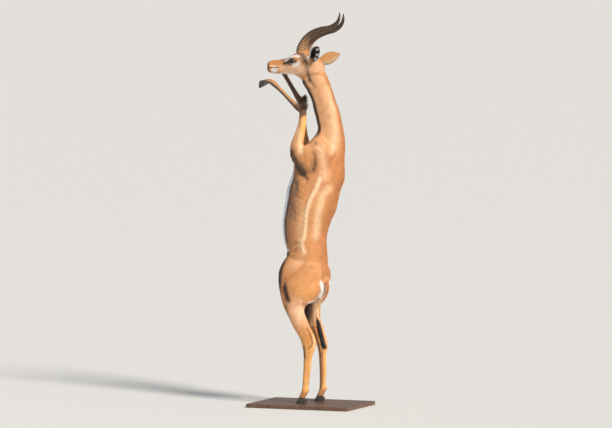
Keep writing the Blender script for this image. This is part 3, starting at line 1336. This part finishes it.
def coat_material(name, bump):
    """The point colours, made lighter and darker by the grain, with the streaks as fine relief."""
    made = new_material(name)
    tree = made.node_tree
    streak, patch = hair_grain(tree, HAIR_ACROSS, HAIR_ALONG)
    both = tree.nodes.new("ShaderNodeMath")
    both.operation = "MULTIPLY"
    tree.links.new(mapped(tree, streak, 0.30, 0.70, 0.86, 1.12), both.inputs[0])
    tree.links.new(mapped(tree, patch, 0.30, 0.70, 0.90, 1.08), both.inputs[1])
    mesh_tint(made, both.outputs[0])
    roughened(made, streak, 0.66, 0.50)
    relief(made, streak, bump, 0.0015)
    for socket, value in (("Specular IOR Level", 0.35), ("Sheen Weight", 0.10), ("Sheen Roughness", 0.45)):
        base_shader(made).inputs[socket].default_value = value
    return made


skin_finish = coat_material("short_coat_skin", 0.45)
hair_finish = coat_material("short_coat_hair", 0.15)
print("coat finishes made")


# %% Dark hair, horn, hoof, eye, lids and wood
def streaked_material(name, dark, light, across, along, roughness, bump, lean=(0.0, 0.0, 0.0)):
    """Two colours mixed by streaks along the piece, with the streaks as relief."""
    made = new_material(name)
    tree = made.node_tree
    streak, patch = hair_grain(tree, across, along, lean)
    colour = colour_mix(tree, mapped(tree, streak, 0.34, 0.66, 0.0, 1.0), dark, light)
    colour = colour_mix(tree, mapped(tree, patch, 0.30, 0.70, 0.0, 0.35), colour, dark)
    tree.links.new(colour, base_shader(made).inputs["Base Color"])
    roughened(made, streak, roughness + 0.08, roughness - 0.08)
    relief(made, streak, bump, 0.001)
    return made


brush_finish = streaked_material("dark_knee_hair", DARK_BROWN, (0.150, 0.085, 0.050), 500.0, 90.0, 0.60, 0.3)
tuft_finish = streaked_material("black_tail_hair", ALMOST_BLACK, (0.020, 0.014, 0.012), 500.0, 60.0, 0.60, 0.3)
hoof_finish = streaked_material("hoof_keratin", (0.022, 0.019, 0.017), (0.085, 0.070, 0.056), 420.0, 60.0,
                                0.38, 0.25)
wood_finish = streaked_material("base_wood", (0.080, 0.040, 0.022), (0.190, 0.105, 0.058), 90.0, 5.0,
                                0.42, 0.25, (0.0, math.radians(90.0), 0.0))


def tinted_material(name, roughness, bump, across, coat=0.0, shine=0.5):
    """A finish that takes its colours from the mesh and adds a fine grain."""
    made = new_material(name)
    tree = made.node_tree
    grain = noise(tree, tree.nodes.new("ShaderNodeTexCoord").outputs["Object"], across, 4.0)
    mesh_tint(made, mapped(tree, grain, 0.30, 0.70, 0.78, 1.18))
    roughened(made, grain, roughness - 0.08, roughness + 0.08)
    relief(made, grain, bump, 0.0008)
    for socket, value in (("Specular IOR Level", shine), ("Coat Weight", coat), ("Coat Roughness", 0.04)):
        base_shader(made).inputs[socket].default_value = value
    return made


horn_finish = tinted_material("horn_keratin", 0.40, 0.5, 240.0)
ear_finish = tinted_material("ear_skin", 0.70, 0.3, 420.0, shine=0.12)
lid_finish = tinted_material("lid_skin", 0.38, 0.2, 900.0)
eye_finish = tinted_material("eye_surface", 0.12, 0.0, 1500.0, coat=0.5)
print("materials:", len(bpy.data.materials))

# %% A shared last step for every piece
def paint_points(made, colours):
    """Keeps a colour for each point as the attribute that the finishes read."""
    layer = made.data.color_attributes.new("tint", "FLOAT_COLOR", "POINT")
    layer.data.foreach_set("color", np.concatenate([colours, np.ones((len(colours), 1))], axis=1).ravel())


def paint_rings(made, colours):
    """Colours of a lofted piece's points, and of the two end points that close it."""
    paint_points(made, np.concatenate([colours, colours[:1], colours[-1:]]))


def finished(made, finish, slot, *nodes, smooth=True):
    """Puts a piece in its place on the model: finish, body, record slot and the nodes it stands for."""
    made.data.materials.clear()
    made.data.materials.append(finish)
    made.data.polygons.foreach_set("use_smooth", np.full(len(made.data.polygons), smooth))
    made.data.update()
    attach(made, "root")
    if nodes:
        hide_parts(*nodes)
    return made


def in_model(points):
    """From the animal's frame to the model's."""
    return points + SHIFT


# %% The skin, painted and put in place
COAT_DEPTH = 0.0012
skin_normals = mesh_normals(skin)
skin_spots = mesh_points(skin)
skin_part, skin_way, _, _ = nearby_lines(skin_spots)
skin_colours = coat_colours(skin_spots, skin_normals, skin_part)
paint_points(skin, skin_colours)
set_points(skin, in_model(skin_spots - skin_normals * COAT_DEPTH))
FLESH = ["head", "neck", "torso", "tail"] + [part + side for side in ("_left", "_right") for part in (
    "upper_arm", "forearm", "front_cannon", "front_pastern", "thigh", "shank", "hind_cannon", "hind_pastern")]
finished(skin, skin_finish, "coat", *FLESH)
print("the skin stands for", len(FLESH), "nodes")

# %% [markdown]
# ## Eyes
# A deer-like eye is a dark ball with a sideways pupil under a clear, wet front. The ball is a
# sphere whose front bulges a little where the cornea is; its colours are worked out from how far
# each point lies from the eye's own axis.

# %% Eyeballs
PUPIL_WIDE, PUPIL_HIGH = 0.0062, 0.0034
IRIS, PUPIL = (0.026, 0.012, 0.006), (0.004, 0.004, 0.005)


def eyeball(word, side):
    """A ball with radius R (0.985 + 0.05 exp(-(angle / 0.55)^2)) at each angle from the outward axis."""
    outward, forward, upward = eye_axes(side)
    t = np.linspace(0.01, math.pi - 0.01, 40)[:, None]
    turn = turns(48)[None, :]
    radius = EYE_RADIUS * (0.985 + 0.05 * np.exp(-(t / 0.55) ** 2)) + 0.0 * turn
    along, up = np.sin(t) * np.cos(turn) * radius, np.sin(t) * np.sin(turn) * radius
    out = np.cos(t) * radius
    rings = mirrored(EYE, side) + along[..., None] * forward + up[..., None] * upward + out[..., None] * outward
    made = lofted("eye_" + word, in_model(placed(rings, HEAD_TURN)))
    along, up = (np.append(part.ravel(), (part[0].mean(), part[-1].mean())) for part in (along, up))
    pupil = 1.0 - smooth_step(np.hypot(along / PUPIL_WIDE, up / PUPIL_HIGH), 0.85, 1.1)
    rim = smooth_step(np.hypot(along, up), 0.0095, 0.0125)
    paint_points(made, tinted(plain(IRIS, len(pupil)), PUPIL, np.maximum(pupil, rim)))
    return finished(made, eye_finish, "eye", "eye_" + word)


# %% Lids and lashes
def lid_rim(word, side):
    """A soft dark ring along the almond opening, a circle carried round the edge of the lids."""
    outward, forward, upward = eye_axes(side)
    turn = turns(64)
    along, up = LID_HALF_WIDE * np.cos(turn), LID_HALF_HIGH * np.sin(turn)
    rise = np.sqrt(EYE_RADIUS**2 - along**2 - up**2) + 0.0010
    core = along[:, None] * forward + up[:, None] * upward + rise[:, None] * outward
    radial = unit(along[:, None] * forward + up[:, None] * upward)
    spin = turns(12)
    thick = (0.0016 + 0.0007 * smooth_step(np.sin(turn), 0.0, 0.8))[:, None]
    rings = carried(core, radial, thick * np.cos(spin), outward[None], thick * np.sin(spin))
    rings = rings + mirrored(EYE, side)
    count, around = rings.shape[:2]
    ring, place = np.meshgrid(np.arange(count), np.arange(around), indexing="ij")
    ring_next, place_next = (ring + 1) % count, (place + 1) % around
    faces = np.stack([ring * around + place, ring * around + place_next, ring_next * around + place_next,
                      ring_next * around + place], axis=-1).reshape(-1, 4)
    made = facing_out(mesh_object("lids_" + word, in_model(placed(rings.reshape(-1, 3), HEAD_TURN)), [faces]))
    paint_points(made, plain((0.020, 0.014, 0.012), count * around))
    return finished(made, lid_finish, "coat")


for word, side in SIDES:
    eyeball(word, side)
    lid_rim(word, side)
print("two eyes with lids")

# %% [markdown]
# ## Horns
# Only males carry horns. Each rises thickly over the eye, sweeps back, and hooks up at its smooth
# tip, ringed by close ridges for most of its length. The middle line is a smooth run through
# twelve places. The ridges are a wave along it: radius times (1 + a |sin|), sharper on the front,
# and their colour follows the same wave.

# %% Two ringed horns
HORN_RIDGES = 17
RINGED_SHARE = 0.74
HORN_FLATNESS = 0.86
HORN_COLOURS = (  # plain, and where the base is warm: in the grooves, on the ridges
    ((0.020, 0.013, 0.010), (0.120, 0.062, 0.026)),
    ((0.120, 0.064, 0.030), (0.430, 0.240, 0.095)),
)


def horn(word, side):
    """A sweep whose radius swells by ridge(share) * (0.80 + 0.20 cos turn) over the ringed part."""
    run = fair([(x, side * y, z, radius) for x, y, z, radius in HORN], 22)
    step = np.linalg.norm(np.diff(run[:, :3], axis=0), axis=1)
    share = np.append(0.0, np.cumsum(step)) / step.sum()
    turn = turns(36)
    lateral, depth = cross_axes(unit(np.gradient(run[:, :3], axis=0)))
    smooth_tip = smooth_step(share, RINGED_SHARE - 0.10, RINGED_SHARE + 0.03)
    ringed = smooth_step(share, 0.02, 0.06) * (1.0 - smooth_tip)
    phase = math.pi * HORN_RIDGES * (share / RINGED_SHARE) ** 0.92
    tilt = 0.30 * np.cos(turn)[None, :]
    ridge = np.abs(np.sin(phase[:, None] + tilt)) ** 0.7
    swell = 1.0 + 0.115 * ringed[:, None] * (ridge - 0.55) * (0.80 + 0.20 * np.cos(turn))[None, :]
    groove = 0.010 * np.sin(9.0 * turn)[None, :] * np.ones_like(swell)
    radius = run[:, 3:4] * (swell + groove)
    rings = carried(run[:, :3], depth, radius * np.cos(turn), lateral, radius * np.sin(turn) * HORN_FLATNESS)
    made = lofted("horn_" + word, in_model(placed(rings, HEAD_TURN)))
    warm_low, warm_front = 1.0 - smooth_step(share, 0.12, 0.42), smooth_step(np.cos(turn), -0.75, 0.0)
    warm = (warm_low[:, None] * warm_front[None, :]).ravel()
    low, high = (tinted(plain(dark, warm.size), lit, warm) for dark, lit in HORN_COLOURS)
    tip_shade = (1.0 - 0.55 * smooth_step(share, 0.80, 1.0))[:, None]
    mix = np.where(ringed[:, None] > 0.05, ridge**1.6 * 0.85, 0.22) * tip_shade
    paint_rings(made, low + (high - low) * mix.reshape(-1, 1))
    return finished(made, horn_finish, "horn", "horn_" + word)


for word, side in SIDES:
    horn(word, side)
print("two horns with", HORN_RIDGES, "ridges each")

# %% [markdown]
# ## Ears
# Each ear is a long leaf rolled into a cup. Its two faces are one sheet with a small thickness:
# at each step along the ear the outline runs up the inner face and back down the outer one, so
# the sheet is closed. Inside, fingers of white hair reach in over dark skin.

# %% Ear cups
EAR_ROOT = (-0.004, 0.040, 1.938)
EAR_RUN = (0.585, 0.655, 0.435)
EAR_OPEN = (-0.42, 0.80, -0.36)
EAR_LENGTH = 0.163
EAR_WIDTH = 0.088
EAR_WIDEST = 0.40
EAR_POINT = 0.72
FAR_EAR_TURN = math.radians(35.0)
FAR_EAR_WIDTH = 0.077
EAR_THICK = 0.0024
EAR_STEPS, EAR_PLACES = 44, 29
EAR_FINGERS = (((0.97, -0.15), (0.70, 0.30)), ((0.80, -0.95), (0.50, -0.10)), ((0.50, -0.95), (0.28, -0.20)))
CUP_BLACK, EAR_BACK, EAR_BACK_PALE = (0.006, 0.004, 0.004), (0.400, 0.190, 0.075), (0.520, 0.390, 0.250)


def ear_axes(side):
    """Unit vectors along the ear, out of its cup and across it."""
    run, opening = unit(mirrored(EAR_RUN, side)), mirrored(EAR_OPEN, side)
    opening = unit(opening - opening @ run * run)
    across = unit(np.cross(run, opening)) * side
    turn = FAR_EAR_TURN if side > 0.0 else 0.0
    return (run, opening * math.cos(turn) + across * math.sin(turn),
            across * math.cos(turn) - opening * math.sin(turn))


def ear_face(side, share, place):
    """Points on the cup's inner face. The half width grows as a sine and closes as an ellipse's end."""
    run, opening, across = ear_axes(side)
    half = (FAR_EAR_WIDTH if side > 0.0 else EAR_WIDTH) / 2
    half = half * (0.30 + 0.70 * np.sin(math.pi * np.minimum(share * 1.25, 1.0) * 0.5))
    past = np.maximum(share - EAR_WIDEST, 0.0) / (1.0 - EAR_WIDEST)
    half = half * (np.maximum(1.0 - past**2, 0.0) ** EAR_POINT + 0.02)
    cup = 0.50 * half * (1.0 - 0.45 * share) * (place**2 - 1.0) * 1.25 + 0.010 * np.sin(math.pi * share)
    return (mirrored(EAR_ROOT, side) + (share * EAR_LENGTH)[..., None] * run
            + (place * half)[..., None] * across + cup[..., None] * opening)


def ear(word, side):
    """Rings that run across the inner face and back over the outer one."""
    _, opening, across = ear_axes(side)
    share = np.linspace(0.0, 1.0, EAR_STEPS)[:, None] * np.ones((1, EAR_PLACES))
    place = np.linspace(-1.0, 1.0, EAR_PLACES)[None, :] * np.ones((EAR_STEPS, 1))
    inner = ear_face(side, share, place)
    thick = EAR_THICK * (1.0 + 2.2 * (1.0 - share) ** 3) * (1.0 - 0.55 * np.abs(place))
    outer = inner - thick[..., None] * opening - (place * thick * 0.35)[..., None] * across
    rings = np.concatenate([inner, outer[:, ::-1]], axis=1)
    made = lofted("ear_" + word, in_model(placed(rings, HEAD_TURN)))
    rim = np.maximum(smooth_step(np.abs(place), 0.72, 0.95), smooth_step(share, 0.90, 0.97))
    fingers = [stroke(share.ravel() * 4.0, place.ravel(), [(4.0 * start, over) for start, over in path], 0.16)
               for path in EAR_FINGERS]
    hairy = [(WHITE, 0.85 * amount) for amount in (*fingers, rim.ravel())]
    inside = layered(plain(CUP_BLACK, share.size), hairy)
    outside = layered(plain(EAR_BACK, share.size), [
        (EAR_BACK_PALE, 0.75 * smooth_step(-place, -0.2, 0.5).ravel()),
        (GREY_BROWN, 0.5 * smooth_step(share, 0.90, 0.99).ravel()),
    ])
    inside, outside = (face.reshape(EAR_STEPS, EAR_PLACES, 3) for face in (inside, outside))
    paint_rings(made, np.concatenate([inside, outside[:, ::-1]], axis=1).reshape(-1, 3))
    return finished(made, ear_finish, "coat", "ear_" + word)


for word, side in SIDES:
    ear(word, side)
print("two ears")

# %% [markdown]
# ## Hooves
# A gerenuk stands on two claws on each foot. A claw is a wall of horn round a flat sole: rings of
# the sole's outline that shrink and move back as they rise.

# %% Eight claws
HOOF_LENGTH = 0.056
HOOF_WIDTH = 0.0195
HOOF_HEIGHT = 0.030
HOOF_SPREAD = 0.0112
FEET = [("hind_left", -0.0475, -0.080, 0.0, 0.0), ("hind_right", -0.0475 + FAR_FOOT_BACK, 0.080, 0.0, 0.0),
        ("front_left", -0.274, -0.0885, math.radians(-28.0), 1.807),
        ("front_right", -0.288, 0.0845, math.radians(-24.0), 1.893)]


def hoof(name, x, y, inner, pitch, height):
    """Rings of the sole's outline: narrower towards the toe, smaller and further back with the rise."""
    turn = turns(40)[None, :]
    rise = np.array([0.0, 0.0, 0.03, 0.12, 0.24, 0.36, 0.48, 0.60, 0.72, 0.84, 0.94, 1.0])[:, None]
    shrink = np.interp(rise, (0.0, 0.30, 0.65, 1.0), (1.0, 0.95, 0.84, 0.66))
    shrink = shrink * np.where(np.arange(12)[:, None] == 0, 0.55, 1.0) * (1.0 + 0.012 * np.cos(rise * 40.0))
    shift = np.interp(rise, (0.0, 0.30, 0.65, 1.0), (0.0, 0.003, 0.008, 0.014))
    reach = np.cos(turn)
    toe = np.maximum(-reach, 0.0)
    along = reach * HOOF_LENGTH / 2 * shrink + shift
    out = np.sin(turn) * HOOF_WIDTH / 2 * (1.0 - 0.40 * toe**2) * shrink + inner * 0.0022 * toe
    rings = np.stack([along, out, rise * HOOF_HEIGHT * (1.0 - 0.18 * reach)], axis=-1)
    place = Matrix.Translation((x, y, height)) @ Matrix.Rotation(pitch, 4, "Y")
    return finished(lofted(name, in_model(placed(rings, place))), hoof_finish, "hoof", name)


for word, x, y, pitch, height in FEET:
    for claw, offset in (("outer", 1.0), ("inner", -1.0)):
        outward = math.copysign(1.0, y) * offset
        hoof("hoof_" + word + "_" + claw, x, y + outward * HOOF_SPREAD, -outward, pitch, height)
print("eight claws")


# %% [markdown]
# ## Locks of hair
# Hair curves are lost when a model is exported, so each lock is a thin closed blade of mesh:
# three corners round at every level, and one point at the tip. All the locks of a piece are worked
# out at once, as one array with a row for each lock.

# %% Many locks as one mesh
def lock_points(roots, ways, outs, lengths, widths, bend, levels):
    """Blades that start at roots, run along ways and bend by bend * length * share^2 along outs.
    Their half width is width * sqrt(1 - share) * (0.7 + 0.6 share), and they are a third as thick."""
    across = unit(np.cross(ways, outs))
    thick = unit(np.cross(across, ways))
    share = np.linspace(0.0, 1.0, levels + 1)[None, :-1, None]
    middle = (roots[:, None] + ways[:, None] * (lengths[:, None, None] * share)
              + outs[:, None] * ((bend * lengths)[:, None, None] * share**2))
    half = widths[:, None, None] * np.sqrt(1.0 - share) * (0.7 + 0.6 * share)
    corners = [middle + across[:, None] * half, middle - across[:, None] * half,
               middle + thick[:, None] * half * 0.35]
    rings = np.stack(corners, axis=2).reshape(len(roots), -1, 3)
    tips = roots + ways * lengths[:, None] + outs * (bend * lengths)[:, None]
    return np.concatenate([rings, tips[:, None]], axis=1)


def lock_faces(count, levels):
    """Walls between levels, a fan to the tip and a cap at the root, repeated for every lock."""
    ring = np.arange(3)
    following = (ring + 1) % 3
    walls = [np.stack([ring + 3 * level, following + 3 * level, following + 3 * level + 3,
                       ring + 3 * level + 3], 1) for level in range(levels - 1)]
    last = 3 * (levels - 1)
    fans = np.concatenate([np.stack([last + ring, last + following, np.full(3, 3 * levels)], 1), [[2, 1, 0]]])
    first = (np.arange(count) * (3 * levels + 1))[:, None, None]
    blocks = [(fans[None] + first).reshape(-1, 3)]
    if walls:
        blocks.append((np.concatenate(walls)[None] + first).reshape(-1, 4))
    return blocks


def locks_object(name, roots, ways, outs, lengths, widths, bend, levels):
    """One mesh object of many closed locks, from places in the animal's frame."""
    points = in_model(lock_points(roots, ways, outs, lengths, widths, bend, levels))
    made = mesh_object(name, points.reshape(-1, 3), lock_faces(len(roots), levels))
    shape = bmesh.new()
    shape.from_mesh(made.data)
    if shape.calc_volume(signed=True) < 0.0:
        bmesh.ops.reverse_faces(shape, faces=shape.faces)
        shape.to_mesh(made.data)
    shape.free()
    return made


PATCH = 0.003


def bake_map(made, corners, spots):
    """The map that a baked copy reads: each lock is a patch PATCH wide at its root's place."""
    spread = np.stack([np.linspace(-0.5, 0.5, corners), np.linspace(0.0, 1.0, corners)], axis=1) * PATCH
    place = np.clip(spots, 0.004, 0.996)[:, None, :] + spread[None]
    layer = made.data.uv_layers.new(name="OFBake")
    corner_points = read(made.data.loops, "vertex_index", 1, int).ravel()
    layer.data.foreach_set("uv", place.reshape(-1, 2)[corner_points].ravel())


# %% The black tuft on the tail
draw = np.random.default_rng(7)
TUFT_LEVELS = 5
TUFT_LINE = ((0.0170, 0.0050, 0.480), (0.030, 0.0065, 0.430), (0.0535, 0.0100, 0.335))
TUFT_TIP = np.array((0.0600, 0.010, 0.306))


def tail_tuft():
    """Locks rooted along the last hand's width of the tail, hanging down and drawn in to a point."""
    count = 620
    start, middle, end = np.array(TUFT_LINE)
    share = draw.uniform(0.0, 1.0, count)[:, None]
    core = (1 - share) ** 2 * start + 2 * share * (1 - share) * middle + share**2 * end
    turn = draw.uniform(0.0, 2.0 * math.pi, count)
    out = np.stack([np.cos(turn), np.sin(turn), np.zeros(count)], axis=1)
    radius = 0.0092 * (1.0 + 0.45 * np.sin(math.pi * share)) * draw.uniform(0.3, 1.0, (count, 1))
    roots = core + out * radius
    tip = TUFT_TIP + out * draw.uniform(0.001, 0.012, (count, 1)) + draw.normal(0.0, 0.004, (count, 3))
    reach = tip - roots
    lengths = np.minimum(np.linalg.norm(reach, axis=1), draw.uniform(0.05, 0.10, count))
    made = locks_object("tail_tuft", roots, unit(reach), out, lengths, draw.uniform(0.0009, 0.0019, count),
                        draw.uniform(0.02, 0.10, count), TUFT_LEVELS)
    bake_map(made, 3 * TUFT_LEVELS + 1, np.stack([turn / (2.0 * math.pi), share[:, 0]], axis=1))
    return finished(made, tuft_finish, "dark_hair", "tail_tuft", smooth=False)


# %% The brushes on the knees
def knee_brush(word, centre, side):
    """Locks over the rear and the top of the bent knee, standing up and back."""
    count = 420
    turn = draw.uniform(-2.2, 2.2, count)
    rise = draw.uniform(-0.9, 1.0, count)
    level = np.sqrt(1 - rise**2 * 0.9)
    way = np.stack([np.cos(turn) * level, np.sin(turn) * level, rise * 0.95], axis=1)
    roots = mirrored(centre, side) + way * (0.0150, 0.0165, 0.0200)
    lie = unit(way * 0.55 + np.array((0.35, 0.0, 0.75)) + draw.normal(0.0, 0.12, (count, 3)))
    lengths = draw.uniform(0.012, 0.027, count) * (0.75 + 0.35 * np.clip(way[:, 0] + way[:, 2], 0.0, 1.0))
    made = locks_object("brush_" + word, roots, lie, way, lengths, draw.uniform(0.0008, 0.0016, count),
                        draw.uniform(0.0, 0.12, count), TUFT_LEVELS)
    bake_map(made, 3 * TUFT_LEVELS + 1, np.stack([turn / 4.6 + 0.5, rise / 2.2 + 0.5], axis=1))
    return finished(made, brush_finish, "dark_hair", "brush_" + word, smooth=False)


tail_tuft()
knee_brush("left", (-0.030, 0.095, 1.682), -1.0)
knee_brush("right", (-0.1065, 0.091, 1.713), 1.0)
print("brushes on the knees and a tuft on the tail")

# %% [markdown]
# ## The short coat
# The coat is sleek, so most of it is the skin's own streaks. Over them lie small tufts that break
# the form's edge on every side, as fur does: four thin faces each, rooted in the skin, lying
# along the hair's way and lifted a little. They are shortest on the face and feet, and longest on
# the neck's ridge, the chest and the buttocks.

# %% Scatter roots over the skin
skin.data.calc_loop_triangles()
triangles = read(skin.data.loop_triangles, "vertices", 3, int)
corner_spots = skin_spots[triangles]
first, second, third = corner_spots.transpose(1, 0, 2)
triangle_area = np.linalg.norm(np.cross(second - first, third - first), axis=1) / 2
triangle_part = skin_part[triangles[:, 0]]
print("skin area", round(float(triangle_area.sum()), 3), "square metres")


def scatter(which, count):
    """Random places on the chosen triangles, each as likely as its area. Two random numbers folded
    into a triangle give even places: p = a + u (b - a) + v (c - a) with u + v under 1."""
    area = triangle_area[which]
    chosen = which[np.searchsorted(np.cumsum(area), draw.uniform(0.0, area.sum(), count))]
    u, v = draw.uniform(0.0, 1.0, (2, count))
    over = u + v > 1.0
    u, v = np.where(over, 1.0 - u, u), np.where(over, 1.0 - v, v)
    weights = np.stack([1.0 - u - v, u, v], axis=1)[..., None]
    corners = triangles[chosen]
    return [(weights * values[corners]).sum(axis=1)
            for values in (skin_spots, skin_normals, skin_colours, skin_way)]


# %% How long the hair is at each place
def hair_length(points, normals, part):
    """Metres of hair, by part, height and facing."""
    z = points[:, 2]
    if part == "head":
        upright = placed(points, HEAD_TURN_BACK)
        return 0.0045 + 0.0045 * smooth_step(upright[:, 0], -0.16, 0.0)
    if part.startswith("fore"):
        return 0.0065 + 0.003 * (1.0 - smooth_step(z, 1.42, 1.60))
    if part.startswith("hind"):
        edge = 0.006 * smooth_step(normals[:, 0], 0.3, 0.9) * smooth_step(z, 0.50, 0.62)
        return 0.0055 + 0.0050 * smooth_step(z, 0.20, 0.62) + edge
    if part == "tail":
        return np.full(len(points), 0.012)
    return 0.0095 + 0.0045 * smooth_step(np.abs(normals[:, 0]), 0.70, 0.97)


# %% Lay one coat piece
EYE_CLEAR = 0.02088
LIFT = 0.17
ROOT_DEPTH = COAT_DEPTH + 0.0006


def coat_piece(name, part, count, low, high):
    """Short tufts over one part, above one height and up to another. Returns its count of faces."""
    height = corner_spots.mean(axis=1)[:, 2]
    which = np.flatnonzero(in_parts(triangle_part, part) & (height > low) & (height <= high))
    roots, outs, colours, ways = scatter(which, count)
    outs = unit(outs)
    if part == "head":
        upright = folded(roots)
        clear = ((np.linalg.norm(upright - EYE - (0.0, 0.010, 0.0), axis=1) > EYE_CLEAR)
                 & (nostril_reach(upright) > 1.3)
                 & ((mouth_reach(upright) > 0.0025) | (upright[:, 0] > -0.205)))
        roots, outs, colours, ways = (values[clear] for values in (roots, outs, colours, ways))
        count = len(roots)
    ways = unit(ways + draw.normal(0.0, 0.13, (count, 3)))
    flat_way = unit(ways - (ways * outs).sum(axis=1, keepdims=True) * outs)
    lift = LIFT * draw.uniform(0.6, 1.6, (count, 1))
    ways = unit(flat_way + outs * lift)
    lengths = hair_length(roots, outs, part) * draw.uniform(0.75, 1.3, count)
    widths = np.minimum(0.00055 + lengths * 0.075, 0.0017) * draw.uniform(0.8, 1.25, count)
    made = locks_object(name, roots - outs * ROOT_DEPTH, ways, outs, lengths, widths, np.full(count, -0.05), 1)
    shade = draw.uniform(0.88, 1.12, (count, 1))
    paint_points(made, np.repeat(np.clip(colours * shade, 0.0, 1.0), 4, axis=0))
    _, way, middle, share = nearby_lines(roots)
    lateral, depth = cross_axes(way)
    arm = roots - middle
    angle = np.arctan2((arm * lateral).sum(axis=1), (arm * depth).sum(axis=1)) / (2.0 * math.pi) + 0.5
    share = (share - share.min()) / max(float(np.ptp(share)), 1e-6)
    bake_map(made, 4, np.stack([angle, share], axis=1))
    finished(made, hair_finish, "coat", smooth=False)
    return 4 * count


# %% Every coat piece
NECK_FOOT, WAIST = 1.50, 1.13
COATS = (  # name, part, tufts, lowest and highest place
    ("head", "head", 30000, 0.0, 9.0), ("neck", "trunk", 26000, NECK_FOOT, 9.0),
    ("chest", "trunk", 30000, WAIST, NECK_FOOT), ("loin", "trunk", 30000, 0.0, WAIST),
    ("tail", "tail", 1500, 0.0, 9.0),
    ("hind_left", "hind_left", 26000, 0.0, 9.0), ("fore_left", "fore_left", 18000, 0.0, 9.0),
    ("hind_right", "hind_right", 26000, 0.0, 9.0), ("fore_right", "fore_right", 18000, 0.0, 9.0),
)
total = sum(coat_piece("coat_" + name, part, count, low, high) for name, part, count, low, high in COATS)
print(total, "faces in the coat")

# %% [markdown]
# ## White hair in the ears
# Rows of white hair grow inside each ear from its rims, in fingers that reach in over dark skin.

# %% Ear hair
EAR_HAIR_LEVELS = 3


def ear_hair(word, side):
    """Locks rooted along the rims and along the fingers drawn on the cup's inner face."""
    count = 420
    run, opening, across = ear_axes(side)
    finger = np.array(EAR_FINGERS)[draw.integers(0, len(EAR_FINGERS), count)]
    along = draw.uniform(0.0, 0.85, count)[:, None]
    share, place = (finger[:, 0] + (finger[:, 1] - finger[:, 0]) * along
                    + draw.normal(0.0, 0.018, (count, 2))).T
    rim = draw.uniform(0.0, 1.0, count) < 0.50
    place = np.where(rim, np.sign(place + 1e-6) * draw.uniform(0.86, 0.99, count), place)
    share = np.where(rim, draw.uniform(0.05, 0.93, count), share)
    roots = ear_face(side, share, np.clip(place, -1.0, 1.0))
    ways = unit(run * np.where(rim, 1.0, -0.9)[:, None] + opening * draw.uniform(0.10, 0.30, (count, 1))
                - across * (place * np.where(rim, 0.35, 0.60))[:, None] + draw.normal(0.0, 0.08, (count, 3)))
    lengths = np.where(rim, draw.uniform(0.007, 0.014, count), draw.uniform(0.010, 0.020, count))
    lengths = lengths * (1.1 - 0.6 * share)
    outs = np.tile(opening, (count, 1))
    made = locks_object("ear_hair_" + word, placed(roots, HEAD_TURN), turned(ways, HEAD_TURN),
                        turned(outs, HEAD_TURN), lengths, draw.uniform(0.0005, 0.0010, count),
                        np.full(count, -0.10), EAR_HAIR_LEVELS)
    corners = 3 * EAR_HAIR_LEVELS + 1
    shade = draw.uniform(0.85, 1.0, (count, 1)).repeat(corners, axis=0)
    paint_points(made, plain(WHITE, count * corners) * shade)
    bake_map(made, corners, np.stack([share, place / 2.0 + 0.5], axis=1))
    return finished(made, hair_finish, "coat", smooth=False)


for word, side in SIDES:
    ear_hair(word, side)

# %% [markdown]
# ## The base, the floor and the last lines
# The wooden base keeps its solid, which already has its eased edges, and takes a finish of grain.
# The floor is plain and pale, and isn't part of the model.

# %% Base and floor
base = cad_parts["stand_base"]
base.data.materials.clear()
base.data.materials.append(wood_finish)
floor_finish = new_material("pale_floor")
base_shader(floor_finish).inputs["Base Color"].default_value = (0.66, 0.65, 0.63, 1.0)
base_shader(floor_finish).inputs["Roughness"].default_value = 0.9
FLOOR_REACH = 160.0
floor_corners = [(x * FLOOR_REACH, y * FLOOR_REACH, 0.0) for x, y in ((-1, -1), (1, -1), (1, 1), (-1, 1))]
floor = mesh_object("floor", floor_corners, [np.array([[0, 1, 2, 3]])])
floor.data.materials.append(floor_finish)
